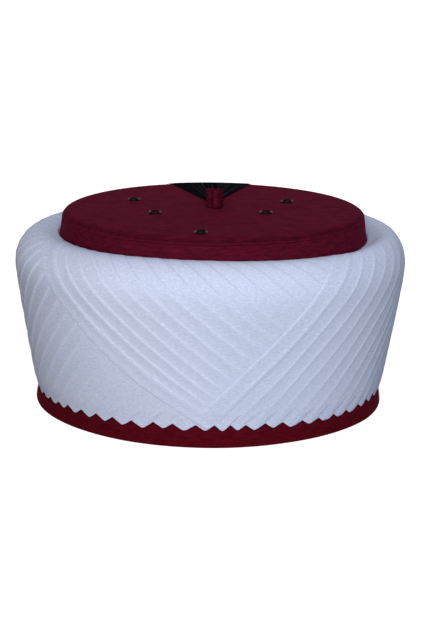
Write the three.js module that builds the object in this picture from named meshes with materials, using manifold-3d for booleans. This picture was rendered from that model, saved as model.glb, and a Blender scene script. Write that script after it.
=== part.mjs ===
// A turban: a felt cap wound with pleated white cloth, with air eyelets and a silk tassel on its top.
// Millimetres. -Y is the front, +X the right of the front view, +Z up. The cap's rim rests on z = 0.
import * as THREE from 'three';
import { mergeVertices } from 'three/addons/utils/BufferGeometryUtils.js';
import Module from 'manifold-3d';

const wasm = await Module();
wasm.setup();

// Clearance between neighbouring pieces
const gap = 0.3;

// Felt cap: an oval that is deeper than wide and narrows upwards
const rimHalfWidth = 91.2;
const topHalfWidth = 78.7;
const ovalDepth = 9.1;
const capHeight = 99.3;
const capLean = 1.8;
const feltThickness = 2.5;
const topEdgeRadius = 3.2;
const topTurnDown = 3.8;
const topLip = 0.3;
const capColumns = 60;

// Rolled felt stem, placed on the top
const stemPlace = { x: 2.0, y: -0.7 };
const stemRadius = 5.2;
const stemHeight = 9.8;
const stemStrip = 1.5;
const stemTurns = 1.8;
const stemSlitAngle = -108;

// Air eyelets, placed on the top
const eyeletPlaces = [
  { x: -40.7, y: 21.2 },
  { x: -28.0, y: -19.8 },
  { x: -4.1, y: -75.6 },
  { x: 28.7, y: -16.4 },
  { x: 41.0, y: 19.5 },
];
const eyeletHole = 1.75;
const eyeletBarrel = 2.35;
const eyeletFlange = 3.5;
const eyeletFlare = 3.0;
const eyeletLip = 0.85;

// Wound cloth: a straight flank that widens upwards, a round shoulder and a dip to the felt
const hemHeight = 8.7;
const hemHalfWidth = 91.3;
const shoulderHalfWidth = 101;
const shoulderHeight = 73;
const shoulderReach = 15.2;
const shoulderRise = 16.9;
const dipDepth = 2;

// How far the cloth sinks lower than that against the felt, by the angle round the head
const dipDrops = [
  { angle: -180, drop: 0.4 },
  { angle: -70, drop: 1.3 },
  { angle: -20, drop: 0.3 },
  { angle: 20, drop: 1.0 },
  { angle: 55, drop: 3.0 },
  { angle: 75, drop: 2.9 },
  { angle: 180, drop: 0.4 },
];

// Side wrap: pleats that climb to the right, one tooth of the lower edge for each
const sidePleats = 58;
const sideClimb = 9;
const sideLeadAngle = -7.5;
const sideLip = 1.1;
const toothRise = 2.3;
const sidePleat = [
  { across: 0.04, rise: 0.0, tooth: 1.0 },
  { across: 0.5, rise: 0.6, tooth: 0.0 },
  { across: 0.94, rise: 1.0, tooth: 0.85 },
];

// Front wrap: pleats that climb to the left, from its free edge to the side wrap's leading edge
const frontPleats = 18;
const frontPitch = 6.05;
const frontMiddle = { length: 45, angle: -36 };
const frontSlope = -0.665;
const frontBend = 0.0012;
const frontEdgeBend = 0.002;
const frontEdgeSpread = { angle: 1.4, full: 30, bend: 0.0046, bendStart: 50 };
const frontLip = 1;
const frontThickness = 3;
const frontTip = 8;
const frontRows = 8;
const frontPleat = [
  { across: 0.0, rise: 0.55 },
  { across: 0.25, rise: 0.0 },
  { across: 0.85, rise: 1.0 },
];

// Silk tassel: locks that fan out from a bound head, pass over the back edge and hang behind
const tasselHead = { x: 2.6, y: 5.5, length: 11, halfWidth: 4.6, height: 4.4 };
const tasselLocks = 7;
const tasselHeading = 181;
const tasselFan = 29.5;
const lockHalfWidth = { start: 1.2, end: 3.4 };
const lockStartThickness = 2.4;
const lockEndVariation = 4;
const tasselDrape = [
  { halfWidth: 74.0, height: 100.3, thickness: 1.3 },
  { halfWidth: 79.6, height: 99.7, thickness: 1.3 },
  { halfWidth: 82.0, height: 96.4, thickness: 1.4 },
  { halfWidth: 86.5, height: 93.2, thickness: 1.6 },
  { halfWidth: 92.4, height: 91.8, thickness: 1.8 },
  { halfWidth: 98.0, height: 88.6, thickness: 2.0 },
  { halfWidth: 102.2, height: 82.4, thickness: 2.2 },
  { halfWidth: 104.0, height: 74.0, thickness: 2.2 },
  { halfWidth: 104.3, height: 54.0, thickness: 2.2 },
  { halfWidth: 104.0, height: 32.0, thickness: 1.6 },
];

const radians = THREE.MathUtils.degToRad;
const smooth = THREE.MathUtils.smoothstep;

// A point of an oval round the head. Angle 0 is the front, 90 degrees the right.
function ovalPoint(halfWidth, angle, height, shift) {
  const depth = halfWidth + ovalDepth * Math.min(1, halfWidth / topHalfWidth);
  const turn = radians(angle);
  return new THREE.Vector3(shift + halfWidth * Math.sin(turn), -depth * Math.cos(turn), height);
}

function capHalfWidth(height) {
  return THREE.MathUtils.lerp(rimHalfWidth, topHalfWidth, height / capHeight);
}

function capShift(height) {
  return (capLean * height) / capHeight;
}

// An indexed geometry whose faces point outwards, whichever way its triangles were listed
function closedGeometry(points, triangles) {
  let volume = 0;
  for (let i = 0; i < triangles.length; i += 3) {
    const [a, b, c] = [points[triangles[i]], points[triangles[i + 1]], points[triangles[i + 2]]];
    volume += a.dot(b.clone().cross(c));
  }
  const outward = volume < 0 ? triangles.toReversed() : triangles;
  const geometry = new THREE.BufferGeometry().setFromPoints(points);
  geometry.setIndex(outward);
  return geometry;
}

// A closed surface through rings of points. With a loop turn the last ring joins the first, moved on by
// that many points; without one, both end rings are filled.
function skin(rings, loopTurn = null) {
  const columns = rings[0].length;
  const points = rings.flat();
  const triangles = [];
  const joins = loopTurn === null ? rings.length - 1 : rings.length;
  for (let i = 0; i < joins; i++) {
    const turn = i === rings.length - 1 ? loopTurn : 0;
    const near = i * columns;
    const far = ((i + 1) % rings.length) * columns;
    for (let j = 0; j < columns; j++) {
      const next = (j + 1) % columns;
      const farFirst = far + ((j + turn) % columns);
      const farNext = far + ((next + turn) % columns);
      triangles.push(near + j, near + next, farNext, near + j, farNext, farFirst);
    }
  }
  if (loopTurn === null) {
    const lastStart = (rings.length - 1) * columns;
    const firstMiddle = points.push(middleOf(rings[0])) - 1;
    const lastMiddle = points.push(middleOf(rings.at(-1))) - 1;
    for (let j = 0; j < columns; j++) {
      const next = (j + 1) % columns;
      triangles.push(firstMiddle, next, j);
      triangles.push(lastMiddle, lastStart + j, lastStart + next);
    }
  }
  return closedGeometry(points, triangles);
}

function middleOf(ring) {
  const sum = new THREE.Vector3();
  ring.forEach((point) => sum.add(point));
  return sum.divideScalar(ring.length);
}

// A sheet with thickness: two grids of points of the same layout, joined along their four sides
function slab(outer, inner) {
  const rows = outer.length;
  const columns = outer[0].length;
  const points = [...outer.flat(), ...inner.flat()];
  const triangles = [];
  const out = (i, j) => i * columns + j;
  const into = (i, j) => (rows + i) * columns + j;
  const quad = (a, b, c, d) => triangles.push(a, b, c, a, c, d);
  for (let i = 0; i < rows - 1; i++) {
    for (let j = 0; j < columns - 1; j++) {
      quad(out(i, j), out(i, j + 1), out(i + 1, j + 1), out(i + 1, j));
      quad(into(i, j), into(i + 1, j), into(i + 1, j + 1), into(i, j + 1));
    }
    quad(out(i, 0), out(i + 1, 0), into(i + 1, 0), into(i, 0));
    quad(out(i + 1, columns - 1), out(i, columns - 1), into(i, columns - 1), into(i + 1, columns - 1));
  }
  for (let j = 0; j < columns - 1; j++) {
    quad(out(0, j + 1), out(0, j), into(0, j), into(0, j + 1));
    quad(out(rows - 1, j), out(rows - 1, j + 1), into(rows - 1, j + 1), into(rows - 1, j));
  }
  return closedGeometry(points, triangles);
}

function toSolid(geometry) {
  const bare = geometry.clone();
  bare.deleteAttribute('normal');
  bare.deleteAttribute('uv');
  const merged = mergeVertices(bare, 1e-4);
  const vertProperties = new Float32Array(merged.attributes.position.array);
  const triVerts = new Uint32Array(merged.index.array);
  return new wasm.Manifold(new wasm.Mesh({ numProp: 3, vertProperties, triVerts }));
}

function toGeometry(solid) {
  const mesh = solid.getMesh();
  const geometry = new THREE.BufferGeometry();
  geometry.setAttribute('position', new THREE.BufferAttribute(new Float32Array(mesh.vertProperties), 3));
  geometry.setIndex(new THREE.BufferAttribute(new Uint32Array(mesh.triVerts), 1));
  return geometry;
}

// Felt cap

function capRing(halfWidth, height) {
  const ring = [];
  for (let j = 0; j < capColumns; j++) {
    ring.push(ovalPoint(halfWidth, (360 * j) / capColumns, height, capShift(height)));
  }
  return ring;
}

function crownWall() {
  const wallTop = capHeight - topTurnDown - gap;
  const topWidth = capHalfWidth(wallTop);
  return skin([
    capRing(rimHalfWidth, 0),
    capRing(topWidth, wallTop),
    capRing(topWidth - feltThickness, wallTop),
    capRing(rimHalfWidth - feltThickness, 0),
  ], 0);
}

function crownTop() {
  const rings = [];
  const edgeWidth = capHalfWidth(capHeight - topEdgeRadius) + topLip;
  const edgeSteps = 3;
  for (let i = 0; i <= edgeSteps; i++) {
    const turn = ((Math.PI / 2) * i) / edgeSteps;
    const halfWidth = edgeWidth - topEdgeRadius * (1 - Math.sin(turn));
    rings.push(capRing(halfWidth, capHeight - topEdgeRadius * (1 - Math.cos(turn))));
  }
  const skirtHeight = capHeight - topTurnDown;
  const skirtWidth = capHalfWidth(skirtHeight);
  rings.push(capRing(skirtWidth + topLip, skirtHeight));
  rings.push(capRing(skirtWidth - feltThickness, skirtHeight));
  rings.push(capRing(skirtWidth - feltThickness, capHeight - feltThickness));
  let top = toSolid(skin(rings));
  for (const place of eyeletPlaces) {
    const bore = new THREE.CylinderGeometry(eyeletBarrel + gap, eyeletBarrel + gap, 4 * feltThickness, 12);
    bore.rotateX(Math.PI / 2);
    bore.translate(place.x, place.y, capHeight);
    top = top.subtract(toSolid(bore));
  }
  return toGeometry(top);
}

// A felt strip rolled into a short tube, with its free end at the front
function stem() {
  const steps = 27;
  const outside = [];
  const inside = [];
  for (let i = 0; i <= steps; i++) {
    const turns = (stemTurns * i) / steps;
    const turn = radians(stemSlitAngle + 360 * turns);
    const radius = stemRadius - (stemStrip + gap) * turns;
    const direction = new THREE.Vector2(Math.cos(turn), Math.sin(turn));
    outside.push(direction.clone().multiplyScalar(radius));
    inside.push(direction.clone().multiplyScalar(radius - stemStrip));
  }
  const strip = new THREE.Shape([...outside, ...inside.reverse()]);
  const geometry = new THREE.ExtrudeGeometry(strip, { depth: stemHeight, bevelEnabled: false });
  geometry.translate(stemPlace.x, stemPlace.y, capHeight + gap);
  return geometry;
}

// A metal eyelet set through the felt: rolled flange above, flared end below
function eyelet(place) {
  const flangeFoot = capHeight + gap;
  const flareTop = capHeight - feltThickness - gap;
  const flareFoot = flareTop - 0.6;
  const profile = [
    [eyeletHole, flareFoot],
    [eyeletFlare, flareFoot],
    [eyeletFlare, flareTop],
    [eyeletBarrel, flareTop],
    [eyeletBarrel, flangeFoot],
    [eyeletFlange, flangeFoot],
    [eyeletFlange - 0.5, flangeFoot + 0.8 * eyeletLip],
    [(eyeletFlange + eyeletHole) / 2, flangeFoot + eyeletLip],
    [eyeletHole, flangeFoot + 0.4 * eyeletLip],
    [eyeletHole, flareFoot],
  ].map(([radius, height]) => new THREE.Vector2(radius, height));
  const geometry = new THREE.LatheGeometry(profile, 10);
  geometry.rotateX(Math.PI / 2);
  geometry.translate(place.x, place.y, 0);
  return geometry;
}

// Wound cloth

const shoulderMiddle = shoulderHalfWidth - shoulderReach;
const wrapTop = shoulderHeight + shoulderRise;
const dipHeight = wrapTop - dipDepth;
const dipHalfWidth = capHalfWidth(dipHeight) + gap;
const flank = new THREE.LineCurve(
  new THREE.Vector2(hemHalfWidth, hemHeight),
  new THREE.Vector2(shoulderHalfWidth, shoulderHeight),
);
const shoulder = new THREE.EllipseCurve(
  shoulderMiddle, shoulderHeight, shoulderReach, shoulderRise, 0, Math.PI / 2,
);
const dip = new THREE.QuadraticBezierCurve(
  new THREE.Vector2(shoulderMiddle, wrapTop),
  new THREE.Vector2((shoulderMiddle + dipHalfWidth) / 2, wrapTop),
  new THREE.Vector2(dipHalfWidth, dipHeight),
);
const wrapSections = [
  { curve: flank, steps: 5 },
  { curve: shoulder, steps: 5 },
  { curve: dip, steps: 2 },
];
const wrapLength = wrapSections.reduce((sum, { curve }) => sum + curve.getLength(), 0);

// The wrap's smooth outer profile at a length from its lower edge, and the profile's direction there
function wrapProfile(length) {
  let rest = length;
  for (const { curve } of wrapSections) {
    const own = curve.getLength();
    if (rest <= own || curve === dip) {
      const at = Math.min(rest / own, 1);
      const along = curve.getTangentAt(at);
      const point = curve.getPointAt(at).addScaledVector(along, Math.max(0, rest - own));
      return { point, along };
    }
    rest -= own;
  }
}

function dipDrop(angle) {
  const turned = THREE.MathUtils.euclideanModulo(angle + 180, 360) - 180;
  const next = Math.max(1, dipDrops.findIndex((place) => place.angle >= turned));
  const [before, after] = [dipDrops[next - 1], dipDrops[next]];
  const share = (turned - before.angle) / (after.angle - before.angle);
  return THREE.MathUtils.lerp(before.drop, after.drop, share);
}

// A point of the wrap, lifted off its smooth outer surface
function wrapPoint(angle, length, lift) {
  const { point, along } = wrapProfile(length);
  const shift = capShift(dipHeight) * smooth(length, 0.7 * wrapLength, wrapLength);
  const drop = dipDrop(angle) * smooth(length, 0.84 * wrapLength, wrapLength);
  const widening = (drop * (rimHalfWidth - topHalfWidth)) / capHeight;
  return ovalPoint(point.x + along.y * lift + widening, angle, point.y - along.x * lift - drop, shift);
}

// How thick the wound cloth is at a length from its lower edge
function wrapThickness(length) {
  const { point } = wrapProfile(length);
  return point.x - capHalfWidth(point.y) - gap;
}

// The side wrap's pleat lines, counted from its leading edge
function sideAngle(pleat, length) {
  return sideLeadAngle + (360 / sidePleats) * (pleat + (sideClimb * length) / wrapLength);
}

// The front wrap's pleat lines, counted from its free edge
function frontAngle(pleat, length) {
  const above = length - frontMiddle.length;
  const bend = frontBend + frontEdgeBend * Math.max(0, 1 - pleat / 3);
  const even = frontMiddle.angle + frontPitch * pleat + frontSlope * above + bend * above ** 2;
  return even - edgeSpread(length) * Math.max(0, 1 - pleat);
}

// How much wider the pleat at the free edge is than the others; it is widest at the felt
function edgeSpread(length) {
  const low = frontEdgeSpread.angle * smooth(length, 0, frontEdgeSpread.full);
  return low + frontEdgeSpread.bend * Math.max(0, length - frontEdgeSpread.bendStart) ** 2;
}

// Pleats flatten towards the lower edge and the felt
function pleatDepth(length) {
  const low = 0.4 + 0.6 * smooth(length, 0, 12);
  return low * (1 - smooth(length, 0.86 * wrapLength, 0.99 * wrapLength));
}

function sideWrapRing(length, isHem) {
  const ring = [];
  for (let pleat = 0; pleat < sidePleats; pleat++) {
    for (const { across, rise, tooth } of sidePleat) {
      const own = isHem ? toothRise * tooth : length;
      ring.push(wrapPoint(sideAngle(pleat + across, own), own, sideLip * rise * pleatDepth(length)));
    }
  }
  return ring;
}

// The inner face goes straight down from the felt, so it meets the lower edge some pleats further on.
function sideWrap() {
  const rings = [sideWrapRing(0, true)];
  let start = 0;
  for (const { curve, steps } of wrapSections) {
    for (let step = 1; step <= steps; step++) {
      rings.push(sideWrapRing(start + (curve.getLength() * step) / steps, false));
    }
    start += curve.getLength();
  }
  const inner = [];
  for (let pleat = 0; pleat < sidePleats; pleat++) {
    for (const { across, tooth } of sidePleat) {
      const height = hemHeight + toothRise * tooth;
      const angle = sideAngle(pleat + across, wrapLength);
      inner.push(ovalPoint(capHalfWidth(height) + gap, angle, height, capShift(height)));
    }
  }
  rings.push(inner);
  const whole = toSolid(skin(rings, sideClimb * sidePleat.length));
  return toGeometry(whole.subtract(toSolid(frontWrapBed())));
}

// Where a pleat line of the front wrap runs under the side wrap's leading edge
function frontStart(pleat) {
  let low = 0;
  let high = wrapLength;
  for (let i = 0; i < 40; i++) {
    const middle = (low + high) / 2;
    if (frontAngle(pleat, middle) > sideAngle(0, middle)) {
      low = middle;
    } else {
      high = middle;
    }
  }
  return Math.max(low, frontTip);
}

// The front wrap sinks under the leading edge, and its free edge lies over the side wrap.
function frontLift(pleat, length) {
  const sink = Math.min(1, 0.25 * wrapThickness(length));
  const free = 0.5 + 0.7 * (1 - smooth(pleat, 0, 2));
  const lift = -sink + (free + sink) * smooth(length - frontStart(pleat), 0, 15);
  return lift * (1 - smooth(length, 0.86 * wrapLength, wrapLength));
}

// Lengths of the front wrap's rows along a pleat line, closer together over the shoulder
function frontLengths(pleat) {
  const start = frontStart(pleat);
  const top = wrapLength - 2 * gap;
  const lengths = [];
  for (let row = 0; row <= frontRows; row++) {
    lengths.push(THREE.MathUtils.lerp(top, start, (1 - row / frontRows) ** 1.4));
  }
  return lengths;
}

// Across the front wrap, from its free edge to the corner under the leading edge
function frontColumns() {
  const columns = [];
  for (let pleat = 0; pleat < frontPleats; pleat++) {
    for (const { across, rise } of frontPleat) {
      columns.push({ pleat: pleat + across, rise });
    }
  }
  columns.push({ pleat: frontPleats, rise: 0 });
  return columns;
}

function frontInside(pleat, length) {
  const thickness = THREE.MathUtils.clamp(0.4 * wrapThickness(length), 0.9, frontThickness);
  return frontLift(pleat, length) - thickness;
}

// Points of the front wrap's rows and columns, lifted off the smooth surface by a function
function frontGrid(columns, lengthsOf, lift) {
  const point = (pleat, length, rise) =>
    wrapPoint(frontAngle(pleat, length), length, lift(pleat, length, rise));
  const lines = columns.map(({ pleat, rise }) =>
    lengthsOf(pleat).map((length) => point(pleat, length, rise)));
  return lines[0].map((_, row) => lines.map((line) => line[row]));
}

function frontWrap() {
  const columns = frontColumns();
  const outside = (pleat, length, rise) => frontLift(pleat, length) + frontLip * rise * pleatDepth(length);
  return slab(frontGrid(columns, frontLengths, outside), frontGrid(columns, frontLengths, frontInside));
}

// The room that the front wrap takes from the side wrap: its own rows and columns with a clearance all round
function frontWrapBed() {
  const margin = 0.05;
  const past = 3;
  const columns = [{ pleat: -margin }, ...frontColumns(), { pleat: frontPleats + margin }];
  const lengthsOf = (pleat) => [frontStart(pleat) - gap, ...frontLengths(pleat), wrapLength + past];
  const outside = () => 2 * past;
  const inside = (pleat, length) => frontInside(pleat, length) - gap;
  return slab(frontGrid(columns, lengthsOf, outside), frontGrid(columns, lengthsOf, inside));
}

// Silk tassel

// One lock: flat six-sided sections along its way from the head, over the back edge and down
function tasselLock(number) {
  const side = number / (tasselLocks - 1) - 0.5;
  const angle = tasselHeading - tasselFan * side;
  const start = new THREE.Vector3(
    tasselHead.x + 4 * side,
    tasselHead.y + 0.6 * tasselHead.length,
    capHeight + gap + lockStartThickness / 2,
  );
  const stations = [{ point: start, halfWidth: lockHalfWidth.start, thickness: lockStartThickness }];
  for (const { halfWidth, height, thickness } of tasselDrape) {
    const point = ovalPoint(halfWidth, angle, height, capShift(height));
    stations.push({ point, halfWidth: lockHalfWidth.end, thickness });
  }
  stations.at(-1).point.z += lockEndVariation * Math.sin(4 * number);
  const across = new THREE.Vector3(-Math.cos(radians(angle)), -Math.sin(radians(angle)), 0);
  return skin(stations.map((station, i) => {
    const before = stations[Math.max(i - 1, 0)].point;
    const after = stations[Math.min(i + 1, stations.length - 1)].point;
    const up = across.clone().cross(after.clone().sub(before)).normalize();
    return lockSection(station, across, up);
  }));
}

function lockSection({ point, halfWidth, thickness }, across, up) {
  const section = [];
  for (let corner = 0; corner < 6; corner++) {
    const turn = (Math.PI * corner) / 3;
    const place = point.clone().addScaledVector(across, halfWidth * Math.cos(turn));
    place.addScaledVector(up, (thickness / 2) * (Math.sin(turn) / Math.sin(Math.PI / 3)));
    section.push(place);
  }
  return section;
}

function tassel() {
  const outline = new THREE.Shape();
  outline.absellipse(0, 0, tasselHead.halfWidth, tasselHead.height / 2, 0, 2 * Math.PI);
  const head = new THREE.ExtrudeGeometry(outline, {
    depth: tasselHead.length, bevelEnabled: false, curveSegments: 7,
  });
  head.rotateX(-Math.PI / 2);
  head.translate(tasselHead.x, tasselHead.y, capHeight + gap + tasselHead.height / 2);
  let whole = toSolid(head);
  for (let number = 0; number < tasselLocks; number++) {
    whole = whole.add(toSolid(tasselLock(number)));
  }
  return toGeometry(whole);
}

// Materials

const whiteCotton = { color: 0xdfe3f0, roughness: 0.9, metalness: 0 };
const maroonFelt = { color: 0x5c1226, roughness: 0.95, metalness: 0 };
const blackSilk = { color: 0x14191c, roughness: 0.45, metalness: 0 };
const gunmetal = { color: 0x3b3e42, roughness: 0.4, metalness: 0.9 };

function piece(name, geometry, finish) {
  const mesh = new THREE.Mesh(geometry, new THREE.MeshStandardMaterial(finish));
  mesh.name = name;
  return mesh;
}

const turban = new THREE.Group();
turban.add(piece('crown_wall', crownWall(), maroonFelt));
turban.add(piece('crown_top', crownTop(), maroonFelt));
turban.add(piece('stem', stem(), maroonFelt));
eyeletPlaces.forEach((place, i) => turban.add(piece(`eyelet_${i + 1}`, eyelet(place), gunmetal)));
turban.add(piece('side_wrap', sideWrap(), whiteCotton));
turban.add(piece('front_wrap', frontWrap(), whiteCotton));
turban.add(piece('tassel', tassel(), blackSilk));

// The origin is under the middle of the whole piece, on the surface that the rim rests on.
const bounds = new THREE.Box3().setFromObject(turban);
const middle = bounds.getCenter(new THREE.Vector3());
turban.position.set(-middle.x, -middle.y, -bounds.min.z);

export default turban;
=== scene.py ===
import math

import bpy
import numpy as np
from mathutils import Matrix, Vector


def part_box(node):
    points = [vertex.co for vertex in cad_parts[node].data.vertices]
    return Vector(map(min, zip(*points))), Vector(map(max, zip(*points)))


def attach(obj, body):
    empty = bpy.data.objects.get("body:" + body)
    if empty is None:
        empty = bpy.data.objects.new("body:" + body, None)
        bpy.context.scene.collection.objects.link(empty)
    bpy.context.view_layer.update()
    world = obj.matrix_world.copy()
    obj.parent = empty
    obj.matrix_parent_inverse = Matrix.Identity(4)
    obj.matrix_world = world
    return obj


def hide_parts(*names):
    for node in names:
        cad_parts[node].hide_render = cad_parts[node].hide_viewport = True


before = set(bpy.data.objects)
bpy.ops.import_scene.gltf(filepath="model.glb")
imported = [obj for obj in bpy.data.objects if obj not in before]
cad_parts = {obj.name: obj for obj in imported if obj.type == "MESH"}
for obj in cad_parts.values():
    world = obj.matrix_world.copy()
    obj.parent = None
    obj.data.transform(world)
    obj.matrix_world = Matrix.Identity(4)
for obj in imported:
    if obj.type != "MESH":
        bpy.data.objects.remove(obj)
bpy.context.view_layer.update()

MM = 0.001
SEED = 7

# View of the photograph
IMAGE_HEIGHT_PIXELS = 631
FOCAL_PIXELS = 1618.3
VIEW_DISTANCE = 858.0
VIEW_ELEVATION = 13.19
VIEW_ROLL = 0.56
VIEW_AIM = (0.80, 0.0, 41.37)

# Clearance between neighbouring pieces
GAP = 0.3

# Felt cap
RIM_HALF_WIDTH = 91.2
TOP_HALF_WIDTH = 78.3
OVAL_DEPTH = 9.1
CAP_HEIGHT = 99.3
CAP_LEAN = 1.8
FELT_THICKNESS = 2.5
TOP_TURN_DOWN = 3.8
SEAM_GAP = 0.08
CAP_COLUMNS = 216
# The rim stands out from the oval a little at the right of the front, by the angle round the head
RIM_SWELL = {
    "angle": [-180, -88, -70, -50, -30, 25, 45, 60, 74, 88, 180],
    "swell": [0, 0, 0.3, 0.1, 0, 0, 0.5, 1.1, 0.5, 0, 0],
    "height": (6.0, 50.0),
}
# Slow swells of the felt: waves round the cap, their turn, the rise that turns them on, and their share
FELT_WANDER = 0.12
FELT_SWELLS = [
    {"waves": 3, "turn": 0.7, "rise": 37, "share": 1.0},
    {"waves": 5, "turn": 2.1, "rise": -23, "share": 0.7},
    {"waves": 11, "turn": 0.0, "rise": 11, "share": 0.5},
]
TOP_WANDER_SHARE = 0.5
# Rows of the felt wall, closer together from under the cloth's upper edge on, and its rounded ends
WALL_ROWS = {"low": 28, "high": 34, "inside": 12}
WALL_BREAK = (83.0, 83.4)
WALL_MARGIN = {"rim": 2.0, "top": 1.5}
WALL_ROUND = {"rim": 0.5, "top": 0.35, "inside": 0.5, "steps": 6}
# Rings of the flat top, and how far those inside it stand from its corner
TOP_RINGS = {"count": 12, "first": 6.0, "margin": 1.0}
TOP_INSIDE = {"lip": 0.3, "corner": 0.8, "inset": 1.0, "flat": 2.0}

# Edge of the felt top: a round, slack at the sides and tighter in front, then a turned-down band to the seam
EDGE_ROUND_FRONT = {"reach": 2.2, "drop": 1.3}
EDGE_ROUND_SIDE = {"reach": 4.6, "drop": 3.3}
EDGE_STEPS = 9
EDGE_BAND = {
    "out": [0.42, 0.25, 0.02, -0.1, -0.04, 0.14, 0.22, 0.2, 0.1, -0.1, -0.4],
    "share": [0.12, 0.3, 0.5, 0.57, 0.61, 0.66, 0.71, 0.82, 0.93, 0.98, 1.0],
}
# The band's folds fade towards the sides, where it is only tucked in at the seam
EDGE_FADE = (20.0, 48.0)
SEAM_TUCK = {"depth": 0.12, "share": (0.8, 1.0)}

# Painted shade on the felt: on the edge of the top between two heights, and where it meets the cloth
TOP_EDGE_SHADE = {"share": 0.34, "low": (96.6, 97.4), "high": (98.2, 98.95)}
JOIN_SHADE = {"share": 0.25, "height": 0.6}
# Painted shade on the felt wall beside the middle, most on the left
WALL_SHADE = {
    "angle": [-180, -90, -55, -25, 0, 25, 50, 180],
    "share": [0, 0.07, 0.09, 0.07, 0.02, 0.06, 0, 0],
}
# Grain of the felt: sizes of its clumps, nap and streaks, and the range in which its mottle shows
FELT_CLUMP = {"size": 0.8, "share": 0.7}
FELT_NAP = 0.55
FELT_STREAK = (6.0, 4.0, 0.9)
FELT_MOTTLE = (0.53, 1.17)
RIM_RED = (4.0, 30.0)

# Rolled felt stem
STEM_PLACE = (2.0, -0.7)
STEM_RADIUS = 5.2
STEM_HEIGHT = 9.8
STEM_STRIP = 1.5
STEM_TURNS = 1.8
STEM_SLIT_ANGLE = -91.0
STEM_STEPS = 130
STEM_CORNERS = 16
STEM_SOFT = 0.5
STEM_FLARE = {"reach": 0.35, "turns": 0.1}
# The stem's upper edge is uneven, and lies a little under its full height
STEM_UNEVEN = [{"height": 0.25, "waves": 3.1}, {"height": 0.15, "waves": 7.3}]
STEM_SETTLE = 0.35
# Along the strip's roll: a painted highlight on its end, a darker right half, painted shadow in the slit
# under it
STEM_SHADE = {
    "turns": [0.0, 0.03, 0.07, 0.5, 0.7, 0.9, 0.95, 1.02, 1.1],
    "share": [-0.35, -0.25, 0.3, 0.3, 0.0, 0.0, 0.3, 0.5, 0.1],
}
# The stem's felt is drawn darker than the cap's
STEM_DARKER = 0.16

# Air eyelets: places on the top, and the turned section
EYELET_PLACES = [(-40.7, 21.2), (-28.0, -19.8), (-4.1, -75.6), (28.7, -16.4), (41.0, 19.5)]
EYELET_COLUMNS = 40
EYELET_SECTION = {
    "radius": [
        1.75, 2.2, 2.85, 3.0, 2.9, 2.35, 2.35, 2.35, 3.2, 3.5, 3.42, 3.1, 2.65, 2.2, 1.88, 1.75, 1.75,
    ],
    "above_felt": [
        -3.4, -3.42, -3.35, -3.1, -2.85, -2.8, -1.5, 0.3, 0.3, 0.42, 0.8, 1.08, 1.15, 1.08, 0.8, 0.4, -1.5,
    ],
}
# Painted shade inside the bore, by the section's radius, and painted glints on the rings' left and right
# sides
EYELET_DARK = (2.1, 2.6)
EYELET_GLINT = (0.6, 0.95)
METAL_MARKS = {"size": 0.7, "share": 0.1}
BORE_RADIUS = 2.65
BORE_STEPS = 32
BORE_REACH = 6.0

# Wound cloth: a straight flank that widens upwards, a round shoulder and a dip to the felt
HEM_HEIGHT = 8.7
HEM_HALF_WIDTH = 91.3
HEM_SPARE = 1.0
SHOULDER_HALF_WIDTH = 101.0
SHOULDER_HEIGHT = 73.0
SHOULDER_REACH = 15.2
SHOULDER_RISE = 16.9
DIP_DEPTH = 2.0
PROFILE_STEPS = 400
PROFILE_STEP = 0.25
PROFILE_EASE = 46
# From which share of its length the cloth leans with the cap, sinks to the felt and lies flat
TOWARDS_FELT = {"lean": 0.7, "dip": 0.84, "flat": 0.86}
# How far the cloth sinks lower than that against the felt, by the angle round the head
DIP_DROP = {
    "angle": [-180, -70, -45, -20, 0, 20, 40, 55, 75, 180],
    "drop": [0.4, 0.65, 0.25, -0.7, -0.6, 0.35, 1.2, 3.3, 3.0, 0.4],
}
# How far the wound cloth swells at the head's two sides: on the flank, and more over the shoulder
SIDE_SWELL = {"left": {"flank": 0.55, "shoulder": 0.7}, "right": {"flank": 1.35, "shoulder": 0.5}}
SWELL_FRONT = (38.0, 74.0)
SWELL_BACK = (120.0, 165.0)
SWELL_FLANK = (-4.0, 50.0)
SWELL_SHOULDER = (60.0, 82.0)
SWELL_END = (80.0, 95.0)
# Pleats flatten towards the lower edge and, from a share of the cloth's length on, towards the felt
PLEAT_DEPTH = {"hem": 0.3, "length": (0, 28), "loss": 0.45, "felt": (0.74, 0.97)}

# Side wrap: pleats that climb to the right
SIDE_PLEATS = 58
SIDE_CLIMB = 9
SIDE_LEAD_ANGLE = -7.5
SIDE_LIP = 0.19
SIDE_ROWS = 76
SIDE_INNER_ROWS = 10
SIDE_BEND = {"bend": 0.0015, "start": 45.0}
HEM_EDGE_STEP = 0.002
HEM_TUCK = {"depth": 0.6, "reach": 8.0}
# The inner face ends under the outer one at the felt, and above it at the lower edge
INSIDE_END = {"felt": 0.4, "hem": 0.15}
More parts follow.
